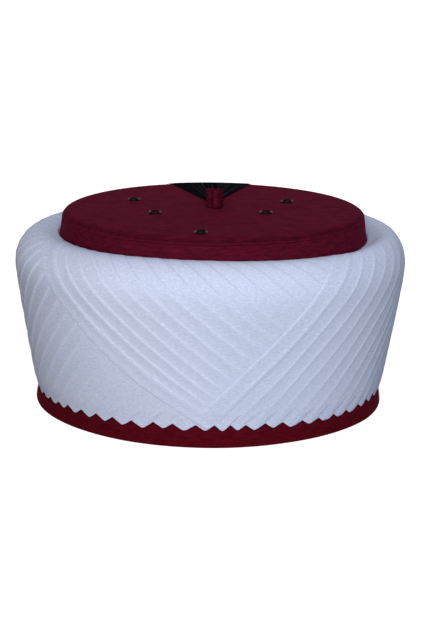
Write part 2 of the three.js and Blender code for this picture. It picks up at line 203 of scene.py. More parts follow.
# Section of a side pleat by the share across it: rise of a sharp and a pressed fold, and their painted
# shading
SIDE_PLEAT = {
    "across": [
        0, 0.04, 0.08, 0.14, 0.2, 0.3, 0.4, 0.5, 0.58,
        0.64, 0.69, 0.73, 0.77, 0.8, 0.83, 0.86, 0.9, 0.94, 0.97,
    ],
    "rise": [
        0.46, 0.33, 0.24, 0.15, 0.09, 0.02, 0, 0.03, 0.12,
        0.25, 0.42, 0.6, 0.8, 0.93, 1, 0.99, 0.88, 0.72, 0.59,
    ],
    "pressed": [
        0.56, 0.37, 0.21, 0.06, 0, 0.05, 0.19, 0.33, 0.44,
        0.52, 0.59, 0.65, 0.71, 0.75, 0.79, 0.83, 0.86, 0.81, 0.71,
    ],
    "painted_shading": [0.03, 0.02, 0.01, 0, 0, 0, 0, 0, 0, 0, -0.01, -0.05, -0.09, -0.06, 0, 0, 0.02, 0.04, 0.04],
    "pressed_highlight": [
        -0.1, -0.09, -0.07, -0.03, 0, 0, 0, 0, 0, 0, 0, 0, 0, 0, 0, -0.02, -0.05, -0.08, -0.1,
    ],
}
SIDE_MIDDLE_RISE = 0.4
# The first pleat beside the leading edge is deeper, with a painted line of shade near its end
FIRST_FOLD = {"depth": 1.1, "end": 1.2, "painted_shading": 0.08}
FIRST_LINE = {"pleat": [0.86, 0.92, 0.97, 1.04], "share": [0, 1, 1, 0]}
# The left of the side wrap and its back are pressed, with broader folds whose painted highlights grow on the
# shoulder
PRESSED_PLEATS = {"left": (-3, -1), "back": (14, 20)}
PRESSED_DEPTH = {"low": 2.9, "high": 1.2, "length": (52, 76)}
PRESSED_HIGHLIGHT = {"share": 1.2, "length": (46.0, 64.0)}
# The left part of the side wrap is almost plain under the front wrap's free edge
PLAIN_PATCH = {"angle": -10, "round": 30, "length": 8, "up": 34, "fade": (0.45, 1.0)}
# A slow wander of the side wrap's pleat lines, in degrees, which ends at the back
SIDE_WOBBLE = {"angle": 0.22, "length": 6.5, "turn": 2.1, "pleats": (29, 27)}
# How far the pleat lines stand from an even spacing, in degrees, by their number from the leading edge
SIDE_SHIFT = {
    "pleat": [-29, -20, -3, -0.05, 0, 1, 4, 7, 12, 29],
    "angle": [0, 2, 2, 0, 0, 2.2, 2.3, 3.4, 3.0, 0],
}
SIDE_UNEVEN = 0.2
# How far the lines on the right spread over the shoulder, in degrees
SIDE_SPREAD = {"pleat": [-29, 2, 7, 18, 29], "angle": [0, 0, 4.0, 0, 0], "length": (45.0, 80.0)}
# The lines lie closer together on the far right, and further apart behind
SIDE_CROWD = {"angle": [-180, 45, 51, 75, 95, 180], "shift": [0, 0, -0.1, -2.6, -3.2, 0]}
# Where the side wrap sinks under the front wrap: by the front pleats, and right of an angle
SIDE_BED = {"pleats": (0.12, 0.5), "angle": -100}

# Teeth of the lower edge: sharp notches between rounded points
NOTCH_HEIGHT = 2.6
TOOTH_DEPTH = 3.1
TOOTH_DEPTH_CHANGE = 0.2
TOOTH_ROUND = 0.16
NOTCH_UNEVEN = 0.2
NOTCH_SHIFT = {
    "angle": [-180, -60, -50, -38, -26, -20, -14, -8, -1, 5, 11, 24, 30, 55, 66, 180],
    "shift": [0, 2.2, 1.2, 1.9, 2.2, 3.2, 3.0, 4.0, 3.3, 2.0, 0.3, -0.4, 0.3, 0.0, -1.4, 0],
}
# How much lower the lower edge hangs than its even height, by the angle round the head
HEM_DROP = {
    "angle": [
        -180, -75, -66, -57, -51, -39, -33, -27, -21, -15, -9, 21, 27, 33, 39, 45, 51, 57, 63, 75, 180,
    ],
    "drop": [
        0, 0.6, 1.3, 1.3, 0.7, 0.55, 0.25, 0.6, 0.4, -0.4, -0.1, 0, 1, 1, 1.5, 1.45, 1.3, 0.25, -0.2, 0, 0,
    ],
}

# Leading edge of the side wrap: it lies over the front wrap, and its lower corner is turned under
LEAD_CORNER = {"length": 9.5, "slope": 0.76}
LEAD_BULGE = {"angle": 0.5, "length": 66}
# The pleat lines beside it follow it: those on its left from one line to another, the next one by a share
LEAD_FOLLOW = {"left": (-2.0, -0.05), "right": 0.9}
LEAD_THICKNESS = {"corner": 0.16, "edge": 0.2, "length": (6, 20)}
LEAD_BED = {"low": 0.1, "high": -0.12, "length": (6, 30)}
LEAD_SEAT = 0.01
LEAD_TUCK = 0.6
LEAD_FOOT = 4.0
# Parts of a pleat beside the edge: where its flap comes down, where no relief is, and the last pleat's width
LEAD_FLAP = (0.1, 0.8)
LEAD_PLAIN = (-1, 0.3)
LAST_PLEAT_SHARE = 0.96
LEAD_FOLD = {
    "across": [-0.03, 0.17, 0.18, 0.17, 0.02, 0.002, 0.0, 0.008, 0.035, 0.065, 0.1, 0.15],
    "spread": [-0.03, -0.024, -0.018, -0.012, -0.007, -0.003, 0.0, 0.008, 0.035, 0.065, 0.1, 0.15],
    "layer": [-1.0, -1.0, -0.5, 0.0, 0.0, 0.0, 0.06, 0.16, 0.55, 0.88, 0.98, 1.0],
}

# Front wrap: pleats that climb to the left, from its free edge to the side wrap's leading edge
FRONT_PLEATS = 18
FRONT_PITCH = 6.05
FRONT_MIDDLE_LENGTH = 45.0
FRONT_MIDDLE_ANGLE = -36.0
FRONT_SLOPE = -0.665
FRONT_BEND = 0.0012
FRONT_EDGE_BEND = {"bend": 0.002, "pleats": 3}
# The pleat at the free edge is wider than the others, and widest at the felt
FRONT_EDGE_SPREAD = {"angle": 1.4, "length": (0, 30.0), "bend": 0.0046, "bend_start": 50.0}
# How the lines stand apart from an even spacing: shifts in degrees, and slopes in degrees for a millimetre
FRONT_SHIFT = {
    "pleat": [0, 1, 2, 3.5, 6, 8, 18],
    "angle": [0, 0, -0.3, -0.6, -1.1, -0.3, 0],
    "slope": [0, -0.045, -0.045, -0.012, -0.012, -0.012, -0.012],
}
FRONT_LIP = 0.25
FRONT_TIP = 0.1
FRONT_ROWS = 72
FRONT_ROW_POWER = 1.3
FRONT_THICKNESS = {"edge": 0.25, "plain": 1.0, "pleats": (0, 0.7)}
# Lift of the front wrap: more at its free edge, by pleats and by length, and none where it starts
FRONT_LIFT = {"plain": 0.12, "edge": 0.32, "pleats": (0, 1.5), "length": (3, 20), "start": (1, 15)}
# Section of a front pleat by the share across it: rise, broad painted shade, and a thin line of painted shade
FRONT_PLEAT = {
    "across": [0.0, 0.04, 0.08, 0.12, 0.18, 0.26, 0.36, 0.46, 0.55, 0.64, 0.73, 0.8, 0.86, 0.91, 0.96],
    "rise": [0.52, 0.28, 0.12, 0.04, 0.0, 0.02, 0.07, 0.17, 0.32, 0.52, 0.75, 0.91, 0.99, 0.97, 0.78],
    "painted_shading": [0.04, 0.07, 0.1, 0.11, 0.1, 0.07, 0.04, 0.02, 0.02, 0.03, 0.03, 0.02, 0, 0, 0],
    "line": [0.12, 0.28, 0.13, 0, 0, 0, 0, 0, 0, 0, 0, 0, 0, 0, 0],
}
FRONT_MIDDLE_RISE = 0.45
# The front pleats lose depth towards the right, and have none at their start and at the free edge
FRONT_DEPTH = {"loss": 0.5, "pleats": (7, 13), "start": (0, 5), "edge": (0.15, 0.6)}
# Their painted shade comes up on the shoulder: broad at the first pleats, a thin line at the others
FRONT_FOLD_SHADE = {"length": (58.0, 80.0), "thin": (2.5, 5.5)}
# Painted shade of the free edge, weaker on the shoulder, and of the hollow beside the first ridge
FRONT_EDGE = {"pleat": [0, 0.05, 0.1], "share": [0.5, 0.17, 0], "end": 0.6, "loss": 0.7}
FRONT_HOLLOW = {"pleat": [0.3, 0.58, 0.7, 0.8], "share": [0, 1, 1, 0], "shade": 0.085}

# Painted shading of the cloth by the length up the wrap: lighter in the middle of the front, darker at its
# sides
CLOTH_PAINTED_SHADING = {
    "length": [0, 14, 34, 50, 60, 76, 96],
    "middle": [0, 0, 0, -0.04, -0.06, 0, 0],
    "side": [0.07, 0.07, 0, 0, 0.03, 0.08, 0.08],
    "angle": (22.0, 42.0),
}
# Painted light and shade in soft patches: middle and reach in degrees round the head and in mm up the wrap
CLOTH_PATCHES = [
    {"angle": -36, "round": 14, "length": 58, "up": 20, "grey": -0.12},
    {"angle": 34, "round": 11, "length": 61, "up": 14, "grey": -0.15},
    {"angle": 58, "round": 15, "length": 62, "up": 16, "grey": -0.07},
    {"angle": 15, "round": 12, "length": 12, "up": 9, "grey": 0.1},
    {"angle": -22, "round": 14, "length": 12, "up": 9, "grey": 0.1},
]
# Uneven yarns, drawn a half coarser than the real ones so that they show, and the range in which they do
YARN = {"width": 0.55, "length": 2.0}
YARN_TONE = (0.6, 1.4)
# How much cloth a side pleat, a front pleat and a millimetre up the wrap take up
CLOTH_TAKEN = {"side": 7.5, "front": 7.4, "up": 1.4}
# Hand winding: slow swells of the cloth
CLOTH_WANDER = 0.12
CLOTH_WANDER_SIZE = 17.0

# Rounds of the searches for the pleat at a place, for a pleat's start and for the lower edge
ROUNDS = {"pleat": 24, "start": 40, "hem": 60}
PLEAT_LIMITS = (-30, 50)

# Silk tassel: a bound head, and strands in locks
TASSEL_HEAD = {"x": 2.6, "y": 5.5, "length": 11.0, "half_width": 4.6, "height": 4.4}
TASSEL_HEAD_SECTION = {
    "share": [0, 0.03, 0.1, 0.25, 0.5, 0.75, 0.9, 0.97, 1.0],
    "size": [0.45, 0.7, 0.86, 0.93, 0.93, 0.9, 0.84, 0.7, 0.5],
}
TASSEL_HEAD_COLUMNS = 30
TASSEL_LOCKS = 7
TASSEL_HEADING = 180.9
TASSEL_FAN = 26.8
# The strands leave the head close together, a little to the left of its middle
TASSEL_START = {"shift": -1.2, "width": 2.6, "share": 0.95, "thickness": 2.4}
TASSEL_STRANDS = 1000
STRAND_RADIUS = 0.22
STRAND_SIDES = 4
STRAND_WAVE = 0.35
# Strand tones, at random and by lock: the lighter strands stand in as painted sheen
STRAND_TONE = {"power": 4, "least": 0.3}
LOCK_SPREAD = 0.055
LOCK_LIMIT = 0.083
STRAY_SHARE = 0.2
STRAY_SPREAD = 0.12
STRAY_SIZE = 0.55
LOCK_END = {"change": 4.0, "turn": 4}
STRAND_END_VARIATION = 2.2
TASSEL_DRAPE = {
    "half_width": [74.0, 79.4, 81.2, 85.7, 92.0, 97.4, 101.3, 102.9, 103.2, 103.2],
    "height": [99.6, 98.95, 96.4, 93.0, 91.2, 88.1, 82.2, 74.0, 54.0, 32.0],
    "thickness": [0.55, 0.46, 0.9, 1.6, 1.8, 2.0, 2.2, 2.2, 2.2, 1.6],
}
TASSEL_SIDE_THINNING = 0.9
BINDING_TURNS = 9
BINDING_STEPS = 36
BINDING_RADIUS = 0.32
BINDING_START = 1.5
BINDING_LENGTH = 5.2
BINDING_TONE = 0.2

# Light: a wide soft window in front, a low light behind, a glowing white floor with a painted shadow under
# the hat, and dim surroundings, warmer on the left and dimmer below the horizon
SUNS = [
    {"name": "window_light", "azimuth": -2, "elevation": 26, "strength": 3.08, "softness": 45},
    {"name": "back_light", "azimuth": 180, "elevation": 13, "strength": 0.65, "softness": 60},
]
SUN_COLOURS = {"window_light": "#ffffff", "back_light": "#f4f6ff"}
FLOOR = {"radius": 14000.0, "sides": 96, "below": 0.2, "dark": (84, 88), "glow": 0.62}
LEFT_LIGHT = (0.135, 0.107, 0.078)
RIGHT_LIGHT = (0.150, 0.175, 0.222)
BELOW_SHARE = 0.8
HORIZON = (-0.1, 0.1)


# Forms


# A soft change from 0 to 1 between two limits
def smooth(value, low, high):
    share = np.clip((value - low) / (high - low), 0, 1)
    return share * share * (3 - 2 * share)


def mixed(first, second, share):
    return first + (second - first) * share


# The same angle between -180 and 180 degrees
def turned(angle):
    return (angle + 180) % 360 - 180


# A column of a table, at places between its rows
def read(table, by, column, place):
    return np.interp(place, table[by], table[column])


def by_angle(table, column, angle):
    return read(table, "angle", column, turned(angle))


# How far the oval swells near the rim
def rim_swell(angle, height):
    return by_angle(RIM_SWELL, "swell", angle) * (1 - smooth(height, *RIM_SWELL["height"]))


# A point of an oval round the head. Angle 0 is the front, 90 degrees the right.
def oval_point(half_width, angle, height, shift):
    half_width = half_width + rim_swell(angle, height)
    depth = half_width + OVAL_DEPTH * np.minimum(1, half_width / TOP_HALF_WIDTH)
    turn = np.radians(angle)
    x, y, z = np.broadcast_arrays(shift + half_width * np.sin(turn), -depth * np.cos(turn), height)
    return np.stack([x, y, z], -1)


def cap_half_width(height):
    return mixed(RIM_HALF_WIDTH, TOP_HALF_WIDTH, height / CAP_HEIGHT)


def cap_shift(height):
    return CAP_LEAN * height / CAP_HEIGHT


CAP_ANGLES = np.arange(CAP_COLUMNS) * 360 / CAP_COLUMNS
SHOULDER_MIDDLE = SHOULDER_HALF_WIDTH - SHOULDER_REACH
WRAP_TOP = SHOULDER_HEIGHT + SHOULDER_RISE
DIP_HEIGHT = WRAP_TOP - DIP_DEPTH
DIP_HALF_WIDTH = cap_half_width(DIP_HEIGHT) + GAP


# Where the cap stands in the part's frame, in metres
def head_place():
    low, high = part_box("crown_wall")
    return np.array([(low.x + high.x) / 2, (low.y + high.y) / 2, 0.0])


HEAD = head_place()


# Faces of a grid of points, row by row. A looped direction joins its end to its start.
def grid_faces(rows, columns, loop_rows, loop_columns):
    row = np.arange(rows if loop_rows else rows - 1)[:, None]
    column = np.arange(columns if loop_columns else columns - 1)[None, :]
    next_row = (row + 1) % rows
    next_column = (column + 1) % columns
    corners = [row * columns + column, row * columns + next_column]
    corners += [next_row * columns + next_column, next_row * columns + column]
    return np.stack([np.broadcast_to(c, (row.size, column.size)) for c in corners], -1).reshape(-1, 4)


def enclosed_volume(points, faces):
    total = 0.0
    for second in range(1, faces.shape[1] - 1):
        a, b, c = [points[faces[:, corner]] for corner in (0, second, second + 1)]
        total += np.einsum("ij,ij->i", a, np.cross(b, c)).sum()
    return total / 6


def put_in_scene(name, data):
    item = bpy.data.objects.new(name, data)
    bpy.context.scene.collection.objects.link(item)
    return item


# A closed mesh object whose faces point outwards. Points are in millimetres round the head.
def closed_piece(name, points, faces, triangles=None, finish=None):
    sets = [faces] if triangles is None else [faces, triangles]
    volume = sum(enclosed_volume(points, each) for each in sets)
    listed = [face for each in sets for face in (each[:, ::-1] if volume < 0 else each).tolist()]
    mesh = bpy.data.meshes.new(name)
    mesh.from_pydata((points * MM + HEAD).tolist(), [], listed)
    mesh.shade_smooth()
    if finish:
        mesh.materials.append(finish)
    return put_in_scene(name, mesh)


# Rings of points joined one to the next. Without a loop both end rings are filled from their middles.
def ringed_piece(name, rings, loop, finish):
    rows, columns, _ = rings.shape
    points = rings.reshape(-1, 3)
    faces = grid_faces(rows, columns, loop, True)
    triangles = None
    if not loop:
        points = np.concatenate([points, [rings[0].mean(0)], [rings[-1].mean(0)]])
        here = np.arange(columns)
        after = (here + 1) % columns
        last = (rows - 1) * columns
        first_fill = np.stack([np.full(columns, len(points) - 2), after, here], -1)
        last_fill = np.stack([np.full(columns, len(points) - 1), last + here, last + after], -1)
        triangles = np.concatenate([first_fill, last_fill])
    return closed_piece(name, points, faces, triangles, finish)


# A number on every point of a mesh, or a direction
def put_on_points(piece, name, values):
    kind, field = ("FLOAT_VECTOR", "vector") if values.ndim == 2 else ("FLOAT", "value")
    attribute = piece.data.attributes.new(name, kind, "POINT")
    attribute.data.foreach_set(field, values.astype(np.float32).reshape(-1))


# Node trees


def to_linear(hex_colour):
    shares = [int(hex_colour[i:i + 2], 16) / 255 for i in (1, 3, 5)]
    return tuple(s / 12.92 if s <= 0.04045 else ((s + 0.055) / 1.055) ** 2.4 for s in shares) + (1.0,)


# Sets a node's inputs. A node stands for its first output, and a colour is written as #rrggbb.
def fill(tree, node, inputs):
    for name, value in inputs.items():
        if isinstance(value, bpy.types.Node):
            value = value.outputs[0]
        if isinstance(value, bpy.types.NodeSocket):
            tree.links.new(value, node.inputs[name])
            continue
        is_colour = isinstance(value, str) and value.startswith("#")
        node.inputs[name].default_value = to_linear(value) if is_colour else value


def add(tree, kind, inputs=None, **settings):
    node = tree.nodes.new(kind)
    for name, value in settings.items():
        setattr(node, name, value)
    fill(tree, node, inputs or {})
    return node


def maths(tree, operation, *values, **settings):
    return add(tree, "ShaderNodeMath", dict(enumerate(values)), operation=operation, **settings)


# A value's place between two limits, as a number from a start to an end
def ranged(tree, value, limits, start=0.0, end=1.0):
    inputs = {"Value": value, "From Min": limits[0], "From Max": limits[1], "To Min": start, "To Max": end}
    return add(tree, "ShaderNodeMapRange", inputs)


# A colour between two others
def blend(tree, share, first, second, **settings):
    inputs = {"Factor": share, 6: first, 7: second}
    return add(tree, "ShaderNodeMix", inputs, data_type="RGBA", **settings).outputs[2]


def noise(tree, place, size, detail, **settings):
    inputs = {"Vector": place, "Scale": 1 / (size * MM), "Detail": detail}
    return add(tree, "ShaderNodeTexNoise", inputs, **settings)


# A number on the points of a mesh, for a material and for a shape
def shown_number(tree, name):
    return add(tree, "ShaderNodeAttribute", attribute_name=name).outputs["Fac"]


def point_number(tree, name, kind="FLOAT"):
    return add(tree, "GeometryNodeInputNamedAttribute", {"Name": name}, data_type=kind)


def new_material(name):
    material = bpy.data.materials.new(name)
    material.use_nodes = True
    tree = material.node_tree
    return material, tree, tree.nodes["Principled BSDF"]


# A geometry tree with named inputs, each (name, kind, value)
def new_geometry_tree(name, sockets):
    tree = bpy.data.node_groups.new(name, "GeometryNodeTree")
    tree.interface.new_socket("Geometry", in_out="INPUT", socket_type="NodeSocketGeometry")
    for socket_name, kind, value in sockets:
        socket = tree.interface.new_socket(socket_name, in_out="INPUT", socket_type=kind)
        if value is not None:
            socket.default_value = value
    tree.interface.new_socket("Geometry", in_out="OUTPUT", socket_type="NodeSocketGeometry")
    return tree, add(tree, "NodeGroupInput").outputs


def end_geometry_tree(tree, geometry, finish):
    real = add(tree, "GeometryNodeRealizeInstances", {"Geometry": geometry})
    shaded = add(tree, "GeometryNodeSetShadeSmooth", {"Geometry": real})
    dressed = add(tree, "GeometryNodeSetMaterial", {"Geometry": shaded, "Material": finish})
    add(tree, "NodeGroupOutput", {"Geometry": dressed})


def made_plain(piece):
    bpy.context.view_layer.update()
    evaluated = piece.evaluated_get(bpy.context.evaluated_depsgraph_get())
    mesh = bpy.data.meshes.new_from_object(evaluated)
    piece.modifiers.clear()
    piece.data = mesh
    mesh.name = piece.name
    return piece


# Puts a tree on a piece, sets its inputs, and keeps the plain mesh that comes out
def shaped_by(piece, tree, **values):
    modifier = piece.modifiers.new(tree.name, "NODES")
    modifier.node_group = tree
    for item in tree.interface.items_tree:
        if item.in_out == "INPUT" and item.name in values:
            modifier[item.identifier] = values[item.name]
    return made_plain(piece)


# Materials


# Wool felt, fulled and shorn: matt, with a short nap that greys the grazing side, faint fibre streaks round
# the cap, a deeper red towards the rim, and painted shade on the edge of the top and from its points
def wool_felt(name, shade):
    material, tree, shader = new_material(name)
    place = add(tree, "ShaderNodeTexCoord").outputs["Object"]
    height = add(tree, "ShaderNodeSeparateXYZ", {0: place}).outputs["Z"]
    stretch = tuple(1 / size for size in FELT_STREAK)
    streak = noise(tree, add(tree, "ShaderNodeMapping", {"Vector": place, "Scale": stretch}), 1.0, 2.0)
    clump = noise(tree, place, FELT_CLUMP["size"], 3.0)
    nap = noise(tree, place, FELT_NAP, 3.0)
    mottle = ranged(tree, maths(tree, "MULTIPLY_ADD", clump, FELT_CLUMP["share"], streak), FELT_MOTTLE)
    rise = ranged(tree, height, np.array(RIM_RED) * MM)
    deep = blend(tree, rise, "#3e060e", "#3c0a18")
    bright = blend(tree, rise, "#580b18", "#5e132a")
    # Painted shade on the top's edge, between two heights
    below = ranged(tree, height, np.array(TOP_EDGE_SHADE["low"]) * MM, 0.0, TOP_EDGE_SHADE["share"])
    above = ranged(tree, height, np.array(TOP_EDGE_SHADE["high"]) * MM, 1.0, 0.0)
    edge = maths(tree, "MULTIPLY", below, above)
    # Darkening: painted shading from the points and the top's edge, and the stem's darker felt
    darkening = maths(tree, "ADD", maths(tree, "ADD", shown_number(tree, "painted_shading"), shade), edge)
    colour = blend(tree, darkening, blend(tree, mottle, deep, bright), "#10030a", clamp_factor=False)
    relief = maths(tree, "ADD", nap, streak)
    bump = add(tree, "ShaderNodeBump", {"Height": relief, "Strength": 0.35, "Distance": 0.35 * MM})
    inputs = {"Base Color": colour, "Normal": bump, "Roughness": 0.95, "Specular IOR Level": 0.012}
    fill(tree, shader, inputs)
    fill(tree, shader, {"Sheen Weight": 0.05, "Sheen Roughness": 0.4, "Sheen Tint": "#ff4a8c"})
    return material


# Plain-woven cotton, bleached a bluish white and pressed: matt, with uneven yarns both ways, painted shade
# in the creases and over the cloth, and painted highlights along the pressed folds
def white_cotton():
    material, tree, shader = new_material("white_woven_cotton")
    cloth = add(tree, "ShaderNodeTexCoord").outputs["UV"]
    yarns = []
    for across, along in ((YARN["width"], YARN["length"]), (YARN["length"], YARN["width"])):
        place = add(tree, "ShaderNodeMapping", {"Vector": cloth, "Scale": (1 / across, 1 / along, 1.0)})
        yarns.append(noise(tree, place, 1.0, 2.0, noise_dimensions="2D"))
    weave = maths(tree, "ADD", *yarns)
    colour = blend(tree, ranged(tree, weave, YARN_TONE), "#b9c2dd", "#d3dcf4")
    # Painted shading from the points: greyer above 0, lighter below it
    colour = blend(tree, shown_number(tree, "painted_shading"), colour, "#8b92ae", clamp_factor=False)
    bump = add(tree, "ShaderNodeBump", {"Height": weave, "Strength": 0.12, "Distance": 0.2 * MM})
    fill(tree, shader, {"Base Color": colour, "Normal": bump, "Roughness": 0.9, "Specular IOR Level": 0.1})
    return material


# Spun silk floss, dyed black: deep, with a tone of its own for each strand; the lighter ones are painted
# sheen
def black_silk():
    material, tree, shader = new_material("black_silk_floss")
    # The lighter strands stand in as painted sheen
    colour = blend(tree, shown_number(tree, "tone"), "#0c0b0f", "#42434d")
    fill(tree, shader, {"Base Color": colour, "Roughness": 0.45, "Specular IOR Level": 0.0})
    return material


# Gunmetal-plated brass, stamped and rolled: dark, half gloss, with fine marks, painted glints and painted
# bore shade
def gunmetal():
    material, tree, shader = new_material("gunmetal_plated_brass")
    place = add(tree, "ShaderNodeTexCoord").outputs["Object"]
    marks = noise(tree, place, METAL_MARKS["size"], 3.0)
    painted_glint = shown_number(tree, "painted_glint")
    marks_and_glint = maths(tree, "MULTIPLY_ADD", marks, METAL_MARKS["share"], painted_glint, use_clamp=True)
    # Lighter at the painted glints and with the fine marks
    colour = blend(tree, marks_and_glint, "#171315", "#92868c")
    # Painted shade inside the bore
    colour = blend(tree, shown_number(tree, "painted_shading"), colour, "#241016")
    gloss = ranged(tree, marks, (0.0, 1.0), 0.5, 0.65)
    fill(tree, shader, {"Base Color": colour, "Roughness": gloss, "Metallic": 1.0})
    return material


# Felt cap


# Blocked felt is never quite even: slow swells round the cap
def felt_wander(angle, height):
    swell = 0.0
    for row in FELT_SWELLS:
        phase = row["waves"] * np.radians(angle) + row["turn"] + height / row["rise"]
        swell = swell + row["share"] * np.sin(phase)
    return FELT_WANDER * swell


def cap_rings(half_widths, heights, wander=1.0):
    half_widths = np.asarray(half_widths, float)[:, None]
    heights = np.asarray(heights, float)[:, None]
    swell = felt_wander(CAP_ANGLES, heights) * wander
    return oval_point(half_widths + swell, CAP_ANGLES, heights, cap_shift(heights))


# A quarter round from one direction to the next, as (inset, rise) shares of its radius
def quarter_round(steps):
    turn = np.linspace(0, np.pi / 2, steps)
    return 1 - np.sin(turn), 1 - np.cos(turn)


# How much lower the cloth lies against the felt than its even height
def dip_drop(angle):
    return by_angle(DIP_DROP, "drop", angle)


def felt_wall(finish):
    top = CAP_HEIGHT - TOP_TURN_DOWN - SEAM_GAP
    inset, rise = quarter_round(WALL_ROUND["steps"])
    low = np.linspace(WALL_MARGIN["rim"], WALL_BREAK[0], WALL_ROWS["low"])
    high = np.linspace(WALL_BREAK[1], top - WALL_MARGIN["top"], WALL_ROWS["high"])
    outer_height = [WALL_ROUND["rim"] * rise, low, high, top - WALL_ROUND["top"] * rise[::-1]]
    outer_inset = [WALL_ROUND["rim"] * inset, 0 * low, 0 * high, WALL_ROUND["top"] * inset[::-1]]
    end = WALL_ROUND["inside"]
    plain = np.linspace(top - WALL_MARGIN["rim"], WALL_MARGIN["rim"], WALL_ROWS["inside"])
    inner_height = [[top, top - end], plain, [end, 0]]
    inner_inset = FELT_THICKNESS - np.concatenate([[end, 0], 0 * plain, [0, end]])
    height = np.concatenate(outer_height + inner_height)
    half_width = cap_half_width(height) - np.concatenate(outer_inset + [inner_inset])
    piece = ringed_piece("felt_wall", cap_rings(half_width, height), True, finish)
    # Painted shade where the felt meets the cloth, and beside the middle of the wall
    above_cloth = height[:, None] - (DIP_HEIGHT - dip_drop(CAP_ANGLES))
    shade = JOIN_SHADE["share"] * np.exp(-np.abs(above_cloth) / JOIN_SHADE["height"])
    shade = shade + by_angle(WALL_SHADE, "share", CAP_ANGLES)
    put_on_points(piece, "painted_shading", shade.reshape(-1))
    return piece


# Rings of the felt top's edge, from the flat to the seam
def felt_edge_rings():
    side = np.sin(np.radians(CAP_ANGLES)) ** 2
    reach = mixed(EDGE_ROUND_FRONT["reach"], EDGE_ROUND_SIDE["reach"], side)
    drop = mixed(EDGE_ROUND_FRONT["drop"], EDGE_ROUND_SIDE["drop"], side)
    fold = 1 - smooth(np.abs(turned(CAP_ANGLES)), *EDGE_FADE)
    turn = np.linspace(0, np.pi / 2, EDGE_STEPS)[:, None]
    round_height = CAP_HEIGHT - drop * (1 - np.cos(turn))
    round_out = EDGE_BAND["out"][0] * fold - reach * (1 - np.sin(turn))
    share = np.array(EDGE_BAND["share"])[:, None]
    band_height = mixed(CAP_HEIGHT - drop, CAP_HEIGHT - TOP_TURN_DOWN, share)
    plain_out = -SEAM_TUCK["depth"] * smooth(share, *SEAM_TUCK["share"])
    band_out = mixed(plain_out, np.array(EDGE_BAND["out"])[:, None], fold)
    height = np.concatenate([round_height, band_height])
    half_width = cap_half_width(height) + np.concatenate([round_out, band_out])
    half_width = half_width + TOP_WANDER_SHARE * felt_wander(CAP_ANGLES, height)
    return oval_point(half_width, CAP_ANGLES, height, cap_shift(height))


def felt_top(finish):
    count = TOP_RINGS["count"]
    last = cap_half_width(CAP_HEIGHT) - EDGE_ROUND_SIDE["reach"] - TOP_RINGS["margin"]
    flat = np.linspace(TOP_RINGS["first"], last, count)
    under = CAP_HEIGHT - FELT_THICKNESS
    skirt = CAP_HEIGHT - TOP_TURN_DOWN
    inside = cap_half_width(skirt) - FELT_THICKNESS
    corner_width = [inside + TOP_INSIDE["lip"], inside, inside, inside - TOP_INSIDE["inset"]]
    corner_height = [skirt, skirt + TOP_INSIDE["lip"], under - TOP_INSIDE["corner"], under]
    under_width = np.concatenate([corner_width, flat[::-1] - TOP_INSIDE["flat"]])
    under_height = np.concatenate([corner_height, np.full(count, under)])
    upper = cap_rings(flat, np.full(count, CAP_HEIGHT), TOP_WANDER_SHARE)
    lower = cap_rings(under_width, under_height, TOP_WANDER_SHARE)
    rings = np.concatenate([upper, felt_edge_rings(), lower])
    return bored(ringed_piece("felt_top", rings, False, finish))


# Cuts the eyelets' bores through the felt
def bored(top):
    turn = np.linspace(0, 2 * np.pi, BORE_STEPS, endpoint=False)
    ends = (CAP_HEIGHT - BORE_REACH, CAP_HEIGHT + BORE_REACH)
    drills = []
    for x, y in EYELET_PLACES:
        circle = np.stack([x + BORE_RADIUS * np.cos(turn), y + BORE_RADIUS * np.sin(turn)], -1)
        rings = [np.column_stack([circle, np.full(BORE_STEPS, end)]) for end in ends]
        drills.append(ringed_piece("drill", np.array(rings), False, None))
        cut = top.modifiers.new("bore", "BOOLEAN")
        cut.operation = "DIFFERENCE"
        cut.solver = "EXACT"
        cut.object = drills[-1]
    made_plain(top)
    for drill in drills:
        bpy.data.objects.remove(drill)
    return top


# A felt strip rolled into a short tube, with soft cut edges
def felt_stem(finish):
    turns = np.linspace(0, STEM_TURNS, STEM_STEPS)
    turn = np.radians(STEM_SLIT_ANGLE + 360 * turns)[:, None]
    radius = STEM_RADIUS - STEM_STRIP / 2 - (STEM_STRIP + GAP) * turns
    radius = radius + STEM_FLARE["reach"] * np.clip(1 - turns / STEM_FLARE["turns"], 0, 1) ** 2
    corner = np.radians((np.arange(STEM_CORNERS) + 0.5) * 360 / STEM_CORNERS)
    across = np.sign(np.cos(corner)) * (STEM_STRIP / 2 - STEM_SOFT) + STEM_SOFT * np.cos(corner)
    up = np.sign(np.sin(corner)) * (STEM_HEIGHT / 2 - STEM_SOFT) + STEM_SOFT * np.sin(corner)
    uneven = sum(wave["height"] * np.sin(wave["waves"] * turn) for wave in STEM_UNEVEN)
    reach = radius[:, None] + across
    height = CAP_HEIGHT + GAP + STEM_HEIGHT / 2 + up + np.where(up > 0, uneven - STEM_SETTLE, 0)
    rings = [STEM_PLACE[0] + reach * np.cos(turn), STEM_PLACE[1] + reach * np.sin(turn), height]
    piece = ringed_piece("felt_stem", np.stack(rings, -1), False, finish)
    # Painted highlight and shadow along the roll, and its darker right half
    shade = read(STEM_SHADE, "turns", "share", turns)
    put_on_points(piece, "painted_shading", np.append(np.repeat(shade, STEM_CORNERS), [0, 0]))
    return piece


# Air eyelets


